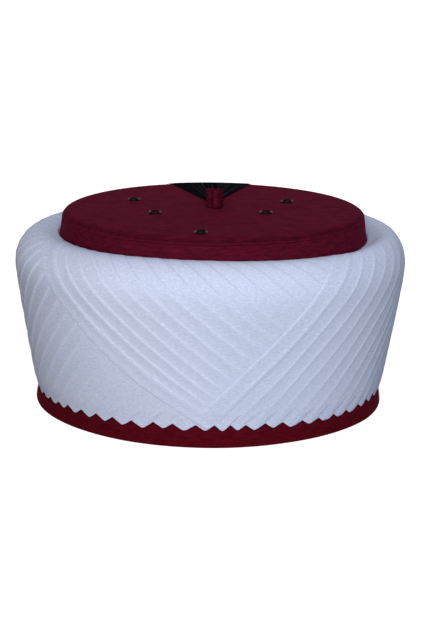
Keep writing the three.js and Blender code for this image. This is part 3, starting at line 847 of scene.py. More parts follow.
def eyelet_tree(finish):
    sockets = [(f"Place {i + 1}", "NodeSocketVector", None) for i in range(len(EYELET_PLACES))]
    tree, given = new_geometry_tree("Eyelets", sockets)
    joined = add(tree, "GeometryNodeJoinGeometry")
    for name, _, _ in sockets:
        fill(tree, joined, {0: add(tree, "GeometryNodePoints", {"Count": 1, "Position": given[name]})})
    placed = add(tree, "GeometryNodeInstanceOnPoints", {"Points": joined, "Instance": given["Geometry"]})
    end_geometry_tree(tree, placed, finish)
    return tree


def eyelets(finish):
    turn = np.radians(np.arange(EYELET_COLUMNS) * 360 / EYELET_COLUMNS)
    radius = np.array(EYELET_SECTION["radius"])
    height = np.array(EYELET_SECTION["above_felt"])[:, None]
    around = [radius[:, None] * np.cos(turn), radius[:, None] * np.sin(turn), height]
    rings = np.stack(np.broadcast_arrays(*around), -1) - HEAD / MM
    piece = ringed_piece("eyelets", rings, True, finish)
    # Painted shade inside the bore, and painted glints on the left and right of each ring
    put_on_points(piece, "painted_shading", np.repeat(1 - smooth(radius, *EYELET_DARK), EYELET_COLUMNS))
    put_on_points(piece, "painted_glint", np.tile(smooth(np.abs(np.cos(turn)), *EYELET_GLINT), len(radius)))
    places = {}
    for i, (x, y) in enumerate(EYELET_PLACES):
        places[f"Place {i + 1}"] = tuple(np.array([x, y, CAP_HEIGHT]) * MM + HEAD)
    return shaped_by(piece, eyelet_tree(finish), **places)


# Wound cloth


# What differs from pleat to pleat and from tooth to tooth, as work by hand does
def hand_draws():
    rng = np.random.default_rng(SEED)
    return {
        "depth": 1 + SIDE_UNEVEN * rng.uniform(-1, 1, SIDE_PLEATS),
        "notch": rng.uniform(-1, 1, SIDE_PLEATS + 1),
        "tooth": np.where(np.arange(SIDE_PLEATS) % 2, -0.5, 0.5) + rng.uniform(-0.5, 0.5, SIDE_PLEATS),
        "front": 1 + SIDE_UNEVEN * rng.uniform(-1, 1, FRONT_PLEATS),
    }


DRAWS = hand_draws()


# The wrap's smooth outer profile, eased where its curves meet: lengths, points and directions
def wrap_profile():
    share = np.linspace(0, 1, PROFILE_STEPS)[:, None]
    hem = np.array([HEM_HALF_WIDTH, HEM_HEIGHT])
    flank_end = np.array([SHOULDER_HALF_WIDTH, SHOULDER_HEIGHT])
    flank_start = hem - HEM_SPARE * (flank_end - hem) / np.linalg.norm(flank_end - hem)
    flank = mixed(flank_start, flank_end, share)
    turn = share * np.pi / 2
    round_part = np.hstack([SHOULDER_REACH * np.cos(turn), SHOULDER_RISE * np.sin(turn)])
    shoulder = np.array([SHOULDER_MIDDLE, SHOULDER_HEIGHT]) + round_part
    crest = np.array([SHOULDER_MIDDLE, WRAP_TOP])
    corner = np.array([(SHOULDER_MIDDLE + DIP_HALF_WIDTH) / 2, WRAP_TOP])
    end = np.array([DIP_HALF_WIDTH, DIP_HEIGHT])
    dip = mixed(mixed(crest, corner, share), mixed(corner, end, share), share)
    points = np.concatenate([flank, shoulder[1:], dip[1:]])
    length = np.concatenate([[0], np.cumsum(np.hypot(*np.diff(points, axis=0).T))]) - HEM_SPARE
    even = np.linspace(length[0], length[-1], round(length[-1] / PROFILE_STEP))
    points = np.stack([np.interp(even, length, points[:, k]) for k in (0, 1)], -1)
    reach = 2 * PROFILE_EASE + 1
    before = 2 * points[0] - points[1:reach][::-1]
    after = 2 * points[-1] - points[-reach:-1][::-1]
    window = np.hanning(reach + 2)[1:-1]
    padded = np.concatenate([before, points, after])
    eased = np.stack([np.convolve(padded[:, k], window / window.sum(), "same") for k in (0, 1)], -1)
    points = eased[reach - 1:reach - 1 + len(points)]
    along = np.gradient(points, even, axis=0)
    return even, points, along / np.linalg.norm(along, axis=1)[:, None]


PROFILE_LENGTH, PROFILE_POINTS, PROFILE_ALONG = wrap_profile()
WRAP_LENGTH = PROFILE_LENGTH[-1]


def on_profile(values, length):
    return np.stack([np.interp(length, PROFILE_LENGTH, values[:, k]) for k in (0, 1)], -1)


# How far the wrap swells out of its profile at the head's sides
def side_swell(angle, length):
    away = np.abs(turned(angle))
    on_flank = smooth(length, *SWELL_FLANK)
    on_shoulder = smooth(length, *SWELL_SHOULDER)
    sides = {}
    for side, swell in SIDE_SWELL.items():
        sides[side] = swell["flank"] * on_flank + swell["shoulder"] * on_shoulder
    swell = np.where(turned(angle) > 0, sides["right"], sides["left"])
    swell = swell * smooth(away, *SWELL_FRONT) * (1 - smooth(away, *SWELL_BACK))
    return swell * (1 - smooth(length, *SWELL_END))


# How far the cloth has come in a change that is full at the felt
def towards_felt(length, change):
    return smooth(length, TOWARDS_FELT[change] * WRAP_LENGTH, WRAP_LENGTH)


# Both wraps come down to one smooth surface at the felt
def felt_fade(length):
    return 1 - towards_felt(length, "flat")


# A point of the wrap, lifted off its smooth outer surface
def wrap_point(angle, length, lift):
    lift = lift + side_swell(angle, length)
    point = on_profile(PROFILE_POINTS, length)
    along = on_profile(PROFILE_ALONG, length)
    shift = cap_shift(DIP_HEIGHT) * towards_felt(length, "lean")
    drop = dip_drop(angle) * towards_felt(length, "dip")
    half_width = point[..., 0] + along[..., 1] * lift + cap_half_width(0) - cap_half_width(drop)
    return oval_point(half_width, angle, point[..., 1] - along[..., 0] * lift - drop, shift)


# The way out of the wrap's surface
def wrap_outward(angle, length):
    step = wrap_point(angle, length, 1.0) - wrap_point(angle, length, 0.0)
    return step / np.linalg.norm(step, axis=-1, keepdims=True)


# The side wrap's pleat lines, counted from its leading edge
def side_angle(pleat, length):
    even = SIDE_LEAD_ANGLE + (360 / SIDE_PLEATS) * (pleat + SIDE_CLIMB * length / WRAP_LENGTH)
    shift = read(SIDE_SHIFT, "pleat", "angle", pleat)
    spread = read(SIDE_SPREAD, "pleat", "angle", pleat) * smooth(length, *SIDE_SPREAD["length"])
    wobble = SIDE_WOBBLE["angle"] * np.sin(length / SIDE_WOBBLE["length"] + SIDE_WOBBLE["turn"] * pleat)
    wobble = wobble * np.minimum(1, np.abs(pleat)) * smooth(np.abs(pleat), *SIDE_WOBBLE["pleats"])
    bend = SIDE_BEND["bend"] * np.maximum(0, length - SIDE_BEND["start"]) ** 2
    angle = even + shift + spread + wobble - bend
    return angle + by_angle(SIDE_CROWD, "shift", angle)


# The leading edge turns to the right near the lower edge, and the pleat lines beside it follow
def side_line(pleat, length):
    above = length - LEAD_CORNER["length"]
    turn = LEAD_CORNER["slope"] * np.maximum(0, -above)
    bulge = LEAD_BULGE["angle"] * np.sin(np.pi * np.clip(above / LEAD_BULGE["length"], 0, 1))
    near = smooth(pleat, *LEAD_FOLLOW["left"]) * np.clip((1 - pleat) / LEAD_FOLLOW["right"], 0, 1)
    return side_angle(pleat, length) + (turn + bulge) * near


# How much wider the front wrap's first pleat is than the others
def edge_spread(length):
    low = FRONT_EDGE_SPREAD["angle"] * smooth(length, *FRONT_EDGE_SPREAD["length"])
    return low + FRONT_EDGE_SPREAD["bend"] * np.maximum(0, length - FRONT_EDGE_SPREAD["bend_start"]) ** 2


# The front wrap's pleat lines, counted from its free edge
def front_angle(pleat, length):
    above = length - FRONT_MIDDLE_LENGTH
    bend = FRONT_BEND + FRONT_EDGE_BEND["bend"] * np.maximum(0, 1 - pleat / FRONT_EDGE_BEND["pleats"])
    slope = FRONT_SLOPE + read(FRONT_SHIFT, "pleat", "slope", pleat)
    shift = read(FRONT_SHIFT, "pleat", "angle", pleat)
    even = FRONT_MIDDLE_ANGLE + FRONT_PITCH * pleat + shift + slope * above + bend * above ** 2
    return even - edge_spread(length) * np.maximum(0, 1 - pleat)


# Which of the front wrap's pleats covers a place
def front_pleat_at(angle, length):
    pleat = np.zeros_like(angle)
    for _ in range(ROUNDS["pleat"]):
        width = FRONT_PITCH + edge_spread(length) * (pleat < 1)
        pleat = np.clip(pleat + (angle - front_angle(pleat, length)) / width, *PLEAT_LIMITS)
    return pleat


# Where a pleat line of the front wrap ends, tucked under the leading edge
def front_start(pleat):
    low = np.full_like(pleat, -HEM_SPARE)
    high = np.full_like(pleat, WRAP_LENGTH)
    for _ in range(ROUNDS["start"]):
        middle = (low + high) / 2
        right = front_angle(pleat, middle) > side_line(0.0, middle) + LEAD_TUCK
        low = np.where(right, middle, low)
        high = np.where(right, high, middle)
    return np.maximum(low, hem_lengths(pleat, front_angle) + FRONT_TIP)


# How high the front wrap lies where it runs under the leading edge
def lead_bed(length):
    return mixed(LEAD_BED["low"], LEAD_BED["high"], smooth(length, *LEAD_BED["length"])) * felt_fade(length)


def front_thickness(pleat):
    share = smooth(pleat, *FRONT_THICKNESS["pleats"])
    return mixed(FRONT_THICKNESS["edge"], FRONT_THICKNESS["plain"], share)


# The front wrap's own lift: over the side wrap at its free edge, under the leading edge at its start
def front_lift(pleat, length):
    start = front_start(pleat)
    edge = FRONT_LIFT["edge"] * (1 - smooth(pleat, *FRONT_LIFT["pleats"]))
    free = FRONT_LIFT["plain"] + edge * smooth(length, *FRONT_LIFT["length"])
    return mixed(lead_bed(start), free * felt_fade(length), smooth(length - start, *FRONT_LIFT["start"]))


def pleat_depth(length):
    low = mixed(PLEAT_DEPTH["hem"], 1, smooth(length, *PLEAT_DEPTH["length"]))
    start, end = PLEAT_DEPTH["felt"]
    return low * (1 - PLEAT_DEPTH["loss"] * smooth(length, start * WRAP_LENGTH, end * WRAP_LENGTH))


# How far a pleat of the side wrap belongs to its pressed part: 0 on the right, 1 on the left and at the back
def pressed_share(pleat):
    return 1 - smooth(pleat, *PRESSED_PLEATS["left"]) + smooth(pleat, *PRESSED_PLEATS["back"])


# How far a place lies from the middle of a patch of cloth, squared, in shares of its reach
def away_from(patch, angle, length):
    sideways = (angle - patch["angle"]) / patch["round"]
    upwards = (length - patch["length"]) / patch["up"]
    return sideways ** 2 + upwards ** 2


# How deep the side wrap's pleats are
def side_depth(pleat, angle, length):
    number = np.floor(pleat).astype(int) % SIDE_PLEATS
    plain = smooth(np.sqrt(away_from(PLAIN_PATCH, angle, length)), *PLAIN_PATCH["fade"])
    return pleat_depth(length) * np.where(pleat < 0, plain, 1.0) * DRAWS["depth"][number]


# Height of the lower edge's teeth, round the head
def tooth_height(angle):
    number = np.arange(-SIDE_PLEATS // 2, SIDE_PLEATS // 2 + 1)
    even = SIDE_LEAD_ANGLE + number * 360 / SIDE_PLEATS
    notch = even + read(NOTCH_SHIFT, "angle", "shift", even) + NOTCH_UNEVEN * DRAWS["notch"]
    notch[-1] = notch[0] + 360
    after = (angle - notch[0]) % 360 + notch[0]
    place = np.clip(np.searchsorted(notch, after, "right") - 1, 0, SIDE_PLEATS - 1)
    share = (after - notch[place]) / (notch[place + 1] - notch[place])
    deep = TOOTH_DEPTH + TOOTH_DEPTH_CHANGE * DRAWS["tooth"][place]
    tip = np.hypot(2 * share - 1, TOOTH_ROUND)
    point = (math.hypot(1, TOOTH_ROUND) - tip) / (math.hypot(1, TOOTH_ROUND) - TOOTH_ROUND)
    return NOTCH_HEIGHT - deep * point - by_angle(HEM_DROP, "drop", angle)


# The lengths at which pleat lines leave the lower edge
def hem_lengths(pleat, line):
    length = np.zeros_like(pleat)
    for _ in range(ROUNDS["hem"]):
        length = mixed(length, tooth_height(line(pleat, length)), 0.5)
    return length


# Rows from the lower edge to the felt, as shares of the way, with two close ones at the edge
def edge_rows(count):
    return np.concatenate([[0, HEM_EDGE_STEP], np.linspace(2 * HEM_EDGE_STEP, 1, count)])[:, None]


# Painted light and shade over the cloth, which the folds' own painted shading comes on top of
def painted_cloth_shading(angle, length):
    angle = turned(angle)
    middle = read(CLOTH_PAINTED_SHADING, "length", "middle", length)
    side = read(CLOTH_PAINTED_SHADING, "length", "side", length)
    grey = mixed(middle, side, smooth(np.abs(angle), *CLOTH_PAINTED_SHADING["angle"]))
    for patch in CLOTH_PATCHES:
        grey = grey + patch["grey"] * np.exp(-away_from(patch, angle, length))
    return grey


# Side wrap


# Columns of the side wrap: pleat number, its share of a pleat, and the fold of the leading edge
def side_columns():
    pleat = []
    spread = []
    layer = []
    for number in range(-SIDE_PLEATS // 2, SIDE_PLEATS // 2):
        across = np.array(SIDE_PLEAT["across"])
        if number == -1:
            across = across * LAST_PLEAT_SHARE
        if number == 0:
            pleat += LEAD_FOLD["across"]
            spread += LEAD_FOLD["spread"]
            layer += LEAD_FOLD["layer"]
            across = across[across > LEAD_FOLD["across"][-1]]
        pleat += list(number + across)
        spread += list(number + across)
        layer += [np.nan] * len(across)
    return np.array(pleat), np.array(spread), np.array(layer)


# Painted shade and highlights along the side wrap's folds, for their full depth
def side_shade(spread, length):
    sharp = read(SIDE_PLEAT, "across", "painted_shading", spread % 1)
    soft = read(SIDE_PLEAT, "across", "pressed_highlight", spread % 1)
    soft = soft * (1 + PRESSED_HIGHLIGHT["share"] * smooth(length, *PRESSED_HIGHLIGHT["length"]))
    first = FIRST_FOLD["painted_shading"] * read(FIRST_LINE, "pleat", "share", spread)
    return mixed(sharp, soft, pressed_share(spread)) + first


# How much deeper the pressed folds and the first fold are than the others
def side_deeper(spread, length):
    is_first = (spread > 0) & (spread < FIRST_FOLD["end"])
    pressed = mixed(PRESSED_DEPTH["low"], PRESSED_DEPTH["high"], smooth(length, *PRESSED_DEPTH["length"]))
    return mixed(np.where(is_first, FIRST_FOLD["depth"], 1.0), pressed, pressed_share(spread))


# The side wrap's lift off the smooth surface, with its bed under the front wrap, and its pleats' depth
def side_lift(pleat, spread, layer, angle, length, under):
    cover = front_pleat_at(angle, length)
    inside = smooth(cover, *SIDE_BED["pleats"]) * (spread < 0) * (angle > SIDE_BED["angle"]) * under
    bed = front_lift(np.maximum(cover, 0), length) - front_thickness(cover) - GAP
    lead = lead_bed(length) + LEAD_SEAT
    above_corner = smooth(length, *LEAD_THICKNESS["length"])
    thickness = mixed(LEAD_THICKNESS["corner"], LEAD_THICKNESS["edge"], above_corner)
    flap = mixed(lead + thickness, 0.0, smooth(pleat, *LEAD_FLAP)) * (spread >= 0) * (pleat < 1)
    lift = mixed(0.0, bed, inside) + flap
    folded = lead + thickness * np.maximum(layer, 0)
    folded = np.where(layer < 0, mixed(folded, bed, -layer), folded)
    is_plain = (spread > LEAD_PLAIN[0]) & (spread < LEAD_PLAIN[1])
    depth = side_depth(spread, angle, length) * (1 - inside) * np.where(is_plain, 0.0, 1.0)
    is_lead = np.isfinite(layer)
    lift = np.where(is_lead, mixed(lift, np.nan_to_num(folded), under), lift)
    return lift, np.where(is_lead, 0.0, depth)


# The inner face follows the cap from the felt down to the lower edge
def side_wrap_inside(points, angle):
    share = np.linspace(0.5 / SIDE_INNER_ROWS, 1, SIDE_INNER_ROWS)[:, None]
    height = mixed(points[-1, :, 2] - INSIDE_END["felt"], points[0, :, 2] + INSIDE_END["hem"], share)
    row = np.round((1 - share) * (len(angle) - 1)).astype(int)
    inner_angle = np.take_along_axis(angle, np.broadcast_to(row, height.shape), 0)
    return oval_point(cap_half_width(height) + GAP, inner_angle, height, cap_shift(height))


def side_wrap(finish):
    fold, spread, layer = side_columns()
    hem = hem_lengths(spread, side_line)
    length = mixed(hem, WRAP_LENGTH, edge_rows(SIDE_ROWS))
    under = smooth(length, 0, LEAD_FOOT)
    pleat = np.where(np.isfinite(layer), mixed(spread, fold, under), spread)
    angle = side_line(pleat, length)
    lift, depth = side_lift(pleat, spread, layer, angle, length, under)
    lift = lift - HEM_TUCK["depth"] * (1 - smooth(length - hem, 0, HEM_TUCK["reach"]))
    outside = wrap_point(angle, length, lift)
    points = np.concatenate([outside, side_wrap_inside(outside, angle)])
    numbers = {
        "across": spread % 1,
        "pressed": pressed_share(spread),
        "depth": depth * side_deeper(spread, length),
        "painted_shading": side_shade(spread, length) * depth + painted_cloth_shading(angle, length),
        "outward": wrap_outward(angle, length),
    }
    across = np.broadcast_to(spread * CLOTH_TAKEN["side"], length.shape)
    cloth = (across, length * CLOTH_TAKEN["up"])
    return pleated_piece("side_wrap_cloth", points, numbers, cloth,
                         SIDE_PLEAT, SIDE_MIDDLE_RISE, SIDE_LIP, finish, True)


# Front wrap


# Painted shade of the front wrap's folds, of its free edge and of the hollow beside it
def front_shade(columns, length):
    on_shoulder = smooth(length, *FRONT_FOLD_SHADE["length"])
    broad = read(FRONT_PLEAT, "across", "painted_shading", columns % 1)
    thin = read(FRONT_PLEAT, "across", "line", columns % 1)
    folds = mixed(broad, thin, smooth(columns, *FRONT_FOLD_SHADE["thin"])) * on_shoulder
    edge = read(FRONT_EDGE, "pleat", "share", columns) * (1 - FRONT_EDGE["loss"] * on_shoulder)
    hollow = FRONT_HOLLOW["shade"] * read(FRONT_HOLLOW, "pleat", "share", columns)
    return np.where(columns < FRONT_EDGE["end"], edge, folds) + hollow


# How deep the front wrap's pleats are
def front_depth(columns, length, start):
    number = np.minimum(np.floor(columns).astype(int), FRONT_PLEATS - 1)
    loss = FRONT_DEPTH["loss"] * smooth(columns, *FRONT_DEPTH["pleats"])
    strength = pleat_depth(length) * (1 - loss) * DRAWS["front"][number]
    return strength * smooth(length - start, *FRONT_DEPTH["start"]) * smooth(columns, *FRONT_DEPTH["edge"])


def front_wrap(finish):
    across = np.array(FRONT_PLEAT["across"])
    columns = np.concatenate([number + across for number in range(FRONT_PLEATS)] + [[FRONT_PLEATS]])
    start = front_start(columns)
    length = mixed(WRAP_LENGTH - 2 * GAP, start, (1 - edge_rows(FRONT_ROWS)) ** FRONT_ROW_POWER)
    pleat = np.broadcast_to(columns, length.shape)
    angle = front_angle(pleat, length)
    lift = front_lift(pleat, length)
    outside = wrap_point(angle, length, lift)
    inside = wrap_point(angle, length, lift - front_thickness(pleat))[::-1]
    numbers = {
        "across": pleat % 1,
        "depth": front_depth(columns, length, start),
        "painted_shading": front_shade(columns, length) + painted_cloth_shading(angle, length),
        "outward": wrap_outward(angle, length),
    }
    numbers = {name: np.concatenate([values, values[::-1]]) for name, values in numbers.items()}
    cloth = (pleat * CLOTH_TAKEN["front"], length * CLOTH_TAKEN["up"])
    return pleated_piece("front_wrap_cloth", np.concatenate([outside, inside]), numbers, cloth,
                         FRONT_PLEAT, FRONT_MIDDLE_RISE, FRONT_LIP, finish, False)


# Pleated cloth


# A curve through a pleat's section, by the share of the pleat
def section_curve(tree, share, across, rise):
    curve = add(tree, "ShaderNodeFloatCurve", {"Value": share})
    line = curve.mapping.curves[0]
    places = across + [1.0]
    rises = rise + rise[:1]
    line.points[0].location = (places[0], rises[0])
    line.points[1].location = (places[-1], rises[-1])
    for place, height in zip(places[1:-1], rises[1:-1]):
        line.points.new(place, height)
    curve.mapping.update()
    return curve


# Relief of folded cloth: each pleat rises along its section, and the whole swells as hand-wound cloth does
def pleat_tree(name, section, middle_rise, finish):
    names = ("Lip", "Swell", "Swell size")
    tree, given = new_geometry_tree(name, [(each, "NodeSocketFloat", 1.0) for each in names])
    share = point_number(tree, "across")
    rise = section_curve(tree, share, section["across"], section["rise"])
    if "pressed" in section:
        pressed_rise = section_curve(tree, share, section["across"], section["pressed"])
        inputs = {"Factor": point_number(tree, "pressed"), "A": rise, "B": pressed_rise}
        rise = add(tree, "ShaderNodeMix", inputs)
    lip = maths(tree, "MULTIPLY", maths(tree, "SUBTRACT", rise, middle_rise), given["Lip"])
    relief = maths(tree, "MULTIPLY", lip, point_number(tree, "depth"))
    scale = maths(tree, "DIVIDE", 1.0, given["Swell size"])
    place = add(tree, "GeometryNodeInputPosition")
    inputs = {"Vector": place, "Scale": scale, "Detail": 1.0, "W": float(SEED)}
    wander = add(tree, "ShaderNodeTexNoise", inputs, noise_dimensions="4D")
    swell = maths(tree, "MULTIPLY", maths(tree, "SUBTRACT", wander, 0.5), given["Swell"])
    inputs = {0: point_number(tree, "outward", "FLOAT_VECTOR"), "Scale": maths(tree, "ADD", relief, swell)}
    offset = add(tree, "ShaderNodeVectorMath", inputs, operation="SCALE")
    moved = add(tree, "GeometryNodeSetPosition", {"Geometry": given["Geometry"], "Offset": offset})
    end_geometry_tree(tree, moved, finish)
    return tree


# A closed grid of cloth with its pleats' relief. The numbers cover the first rows, and the rest is the plain
# inside.
def pleated_piece(name, points, numbers, cloth, section, middle_rise, lip, finish, looped):
    rows, columns, _ = points.shape
    faces = grid_faces(rows, columns, True, looped)
    if not looped:
        faces = np.concatenate([faces, end_faces(rows, columns)])
    piece = closed_piece(name, points.reshape(-1, 3), faces)
    rest = rows - numbers["depth"].shape[0]
    for number_name, values in numbers.items():
        size = values.shape[2:]
        values = np.broadcast_to(values, (rows - rest, columns) + size)
        values = np.concatenate([values, np.zeros((rest, columns) + size)])
        put_on_points(piece, number_name, values.reshape((-1,) + size))
    put_cloth_places(piece, cloth, rows)
    tree = pleat_tree(name, section, middle_rise, finish)
    values = {"Lip": lip * MM, "Swell": CLOTH_WANDER * MM, "Swell size": CLOTH_WANDER_SIZE * MM}
    return shaped_by(piece, tree, **values)


# Fills the two open ends of a looped band of rows
def end_faces(rows, columns):
    step = np.arange(rows // 2 - 1)
    faces = []
    for column in (0, columns - 1):
        there = step * columns + column
        back = (rows - 1 - step) * columns + column
        quad = np.stack([there, there + columns, back - columns, back], -1)
        faces.append(quad if column else quad[:, ::-1])
    return np.concatenate(faces)


# The cloth's own directions on every corner of a face, in metres: across the pleats and along them
def put_cloth_places(piece, cloth, rows):
    across, along = cloth
    rest = rows - len(across)
    across = np.concatenate([across, np.repeat(across[-1:], rest, 0)]).reshape(-1)
    along = np.concatenate([along, along[-1:] + np.arange(1, rest + 1)[:, None]]).reshape(-1)
    corner = np.zeros(len(piece.data.loops), np.int32)
    piece.data.loops.foreach_get("vertex_index", corner)
    layer = piece.data.uv_layers.new(name="cloth")
    places = np.stack([across[corner], along[corner]], -1) * MM
    layer.data.foreach_set("uv", places.astype(np.float32).reshape(-1))


# Silk tassel


# Lines of points with their corners cut, so that they bend softly
def softened(lines):
    near = mixed(lines[:, :-1], lines[:, 1:], 0.25)
    far = mixed(lines[:, :-1], lines[:, 1:], 0.75)
    between = np.stack([near, far], 2).reshape(len(lines), -1, 3)
    return np.concatenate([lines[:, :1], between[:, 1:-1], lines[:, -1:]], 1)


# Strands from the bound head over the back edge and down behind, gathered in locks
def strand_lines(rng):
    count = TASSEL_STRANDS
    lock = np.arange(count) % TASSEL_LOCKS
    side = lock / (TASSEL_LOCKS - 1) - 0.5
    side = side + np.clip(LOCK_SPREAD * rng.standard_normal(count), -LOCK_LIMIT, LOCK_LIMIT)
    is_stray = rng.uniform(0, 1, count) < STRAY_SHARE
    side = side + np.where(is_stray, STRAY_SPREAD * rng.uniform(-1, 1, count), 0)
    size = np.where(is_stray, STRAY_SIZE, 1.0)
    # A tone for each strand, at random and by lock; the lighter ones stand in as painted sheen
    tone = rng.uniform(0, 1, count) ** STRAND_TONE["power"]
    tone = tone * rng.uniform(STRAND_TONE["least"], 1, TASSEL_LOCKS)[lock]
    layer = rng.uniform(0, 1, count) * np.maximum(0, 1 - TASSEL_SIDE_THINNING * (2 * side) ** 2)
    angle = TASSEL_HEADING - TASSEL_FAN * side
    height = np.repeat(np.array(TASSEL_DRAPE["height"])[None, :], count, 0)
    ends = LOCK_END["change"] * np.sin(LOCK_END["turn"] * lock)
    height[:, -1] += ends + STRAND_END_VARIATION * rng.standard_normal(count)
    wave = STRAND_WAVE * rng.standard_normal(height.shape)
    half_width = np.array(TASSEL_DRAPE["half_width"])
    drape = oval_point(half_width, angle[:, None] + wave, height, cap_shift(height))
    start_x = TASSEL_HEAD["x"] + TASSEL_START["shift"] + TASSEL_START["width"] * side
    start_y = np.full(count, TASSEL_HEAD["y"] + TASSEL_START["share"] * TASSEL_HEAD["length"])
    start = np.stack([start_x, start_y, np.full(count, CAP_HEIGHT + GAP)], -1)
    lines = np.concatenate([start[:, None], drape], 1)
    turn = np.radians(angle)
    across = np.stack([-np.cos(turn), -np.sin(turn), 0 * turn], -1)[:, None]
    along = np.gradient(lines, axis=1)
    up = np.cross(np.broadcast_to(across, along.shape), along)
    up = up / np.linalg.norm(up, axis=-1, keepdims=True)
    thickness = np.array([TASSEL_START["thickness"]] + TASSEL_DRAPE["thickness"]) - 2 * STRAND_RADIUS
    lift = STRAND_RADIUS + layer[:, None] * thickness
    return softened(lines + up * lift[..., None]), size, tone


# Round threads along lines of points
def thread_tree(finish):
    sockets = [("Radius", "NodeSocketFloat", 0.0), ("Sides", "NodeSocketInt", STRAND_SIDES)]
    tree, given = new_geometry_tree("Threads", sockets)
    line = add(tree, "GeometryNodeMeshToCurve", {"Mesh": given["Geometry"]})
    inputs = {"Resolution": given["Sides"], "Radius": given["Radius"]}
    section = add(tree, "GeometryNodeCurvePrimitiveCircle", inputs)
    inputs = {"Curve": line, "Profile Curve": section, "Fill Caps": True, "Scale": point_number(tree, "size")}
    end_geometry_tree(tree, add(tree, "GeometryNodeCurveToMesh", inputs), finish)
    return tree


def threads(name, lines, size, tone, radius, tree):
    count, points, _ = lines.shape
    first = (np.arange(count)[:, None] * points + np.arange(points - 1)[None, :]).reshape(-1)
    edges = np.stack([first, first + 1], -1)
    mesh = bpy.data.meshes.new(name)
    mesh.from_pydata((lines.reshape(-1, 3) * MM + HEAD).tolist(), edges.tolist(), [])
    piece = put_in_scene(name, mesh)
    put_on_points(piece, "size", np.repeat(size, points))
    put_on_points(piece, "tone", np.repeat(tone, points))
    return shaped_by(piece, tree, Radius=radius * MM, Sides=STRAND_SIDES)


# The bound head: a blunt oval body under close turns of thread
def tassel_head(finish):
    share, scale = [np.array(TASSEL_HEAD_SECTION[column])[:, None] for column in ("share", "size")]
    turn = np.radians(np.arange(TASSEL_HEAD_COLUMNS) * 360 / TASSEL_HEAD_COLUMNS)
    x = TASSEL_HEAD["x"] + scale * TASSEL_HEAD["half_width"] * np.cos(turn)
    y = TASSEL_HEAD["y"] + share * TASSEL_HEAD["length"]
    z = CAP_HEIGHT + GAP + TASSEL_HEAD["height"] / 2 * (1 + scale * np.sin(turn))
    rings = np.stack(np.broadcast_arrays(x, y, z), -1)
    return ringed_piece("tassel_head", rings, False, finish)


def binding_line():
    turn = np.linspace(0, 2 * np.pi * BINDING_TURNS, BINDING_STEPS * BINDING_TURNS + 1)
    middle = TASSEL_HEAD["height"] / 2
    x = TASSEL_HEAD["x"] + (TASSEL_HEAD["half_width"] - BINDING_RADIUS) * np.cos(turn)
    y = TASSEL_HEAD["y"] + BINDING_START + BINDING_LENGTH * (turn / turn[-1])
    z = CAP_HEIGHT + GAP + middle + (middle - BINDING_RADIUS) * np.sin(turn)
    return np.stack([x, y, z], -1)[None]


# Stage


def make_camera():
    lens = bpy.data.cameras.new("camera")
    lens.lens = FOCAL_PIXELS * lens.sensor_width / IMAGE_HEIGHT_PIXELS
    lens.clip_start = 0.01
    elevation = math.radians(VIEW_ELEVATION)
    roll = math.radians(VIEW_ROLL)
    forward = Vector((0, math.cos(elevation), -math.sin(elevation)))
    level = Vector((1, 0, 0))
    upright = level.cross(forward)
    right = level * math.cos(roll) + upright * math.sin(roll)
    up = upright * math.cos(roll) - level * math.sin(roll)
    place = Vector(np.array(VIEW_AIM) * MM + HEAD) - forward * VIEW_DISTANCE * MM
    camera = put_in_scene("camera", lens)
    camera.matrix_world = Matrix.Translation(place) @ Matrix((right, up, -forward)).transposed().to_4x4()
    bpy.context.scene.camera = camera


# White paper that glows evenly, with its glow taken away under the hat as a painted shadow
def white_paper():
    material, tree, shader = new_material("white_paper")
    place = add(tree, "ShaderNodeTexCoord").outputs["Object"]
    away = add(tree, "ShaderNodeVectorMath", {0: place}, operation="LENGTH").outputs["Value"]
    glow = ranged(tree, away, np.array(FLOOR["dark"]) * MM, 0.0, FLOOR["glow"])
    fill(tree, shader, {"Base Color": "#fbf8f2", "Roughness": 1.0, "Specular IOR Level": 0.0})
    fill(tree, shader, {"Emission Color": "#ffffff", "Emission Strength": glow})
    return material


def make_floor():
    turn = np.linspace(0, 2 * np.pi, FLOOR["sides"], endpoint=False)
    radius = FLOOR["radius"] * MM
    mesh = bpy.data.meshes.new("floor")
    corners = [(radius * math.cos(t), radius * math.sin(t), -FLOOR["below"] * MM) for t in turn]
    mesh.from_pydata(corners, [], [list(range(FLOOR["sides"]))])
    mesh.materials.append(white_paper())
    floor = put_in_scene("floor", mesh)
    floor.visible_diffuse = False


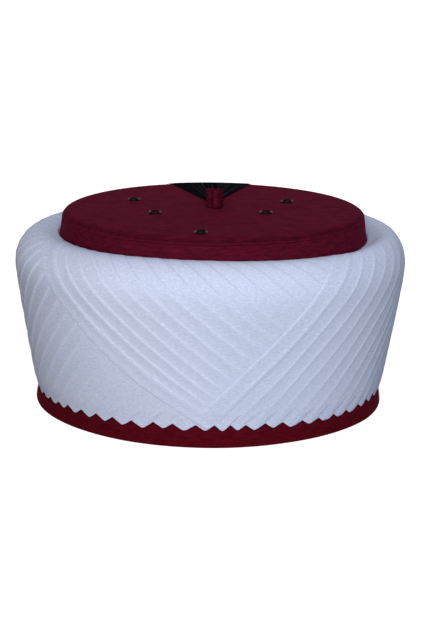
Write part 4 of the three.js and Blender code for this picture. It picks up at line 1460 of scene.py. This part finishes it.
def make_sun(name, azimuth, elevation, strength, softness):
    light = bpy.data.lights.new(name, "SUN")
    light.energy = strength
    light.angle = math.radians(softness)
    light.color = to_linear(SUN_COLOURS[name])[:3]
    turn = math.radians(azimuth)
    rise = math.radians(elevation)
    towards = Vector((math.sin(turn) * math.cos(rise), -math.cos(turn) * math.cos(rise), math.sin(rise)))
    sun = put_in_scene(name, light)
    sun.rotation_mode = "QUATERNION"
    sun.rotation_quaternion = towards.to_track_quat("Z", "Y")
    sun.visible_glossy = name != "back_light"


def make_surroundings():
    world = bpy.data.worlds.new("studio")
    bpy.context.scene.world = world
    world.use_nodes = True
    tree = world.node_tree
    direction = add(tree, "ShaderNodeTexCoord").outputs["Generated"]
    parts = add(tree, "ShaderNodeSeparateXYZ", {0: direction}).outputs
    side = ranged(tree, parts["X"], (-1.0, 1.0))
    colour = blend(tree, side, LEFT_LIGHT + (1.0,), RIGHT_LIGHT + (1.0,))
    strength = ranged(tree, parts["Z"], HORIZON, BELOW_SHARE, 1.0)
    fill(tree, tree.nodes["Background"], {"Color": colour, "Strength": strength})


def make_stage():
    make_camera()
    make_floor()
    for sun in SUNS:
        make_sun(**sun)
    make_surroundings()
    bpy.context.scene.view_settings.view_transform = "Standard"


# Assembly


def settle(piece, slot, *nodes):
    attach(piece, "root")
    if nodes:
        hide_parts(*nodes)
    return piece


def make_turban():
    felt = wool_felt("maroon_wool_felt", 0.0)
    cotton = white_cotton()
    silk = black_silk()
    settle(felt_wall(felt), "felt", "crown_wall")
    settle(felt_top(felt), "felt", "crown_top")
    settle(felt_stem(wool_felt("darker_wool_felt", STEM_DARKER)), "felt", "stem")
    names = [f"eyelet_{i + 1}" for i in range(len(EYELET_PLACES))]
    settle(eyelets(gunmetal()), "eyelet_metal", *names)
    side = settle(side_wrap(cotton), "white_cotton", "side_wrap")
    front = settle(front_wrap(cotton), "white_cotton", "front_wrap")
    tree = thread_tree(silk)
    lines, size, tone = strand_lines(np.random.default_rng(SEED))
    settle(threads("tassel_strands", lines, size, tone, STRAND_RADIUS, tree), "silk", "tassel")
    settle(tassel_head(silk), "silk")
    binding = threads("tassel_binding", binding_line(), [1.0], [BINDING_TONE], BINDING_RADIUS, tree)
    settle(binding, "silk")


make_stage()
make_turban()
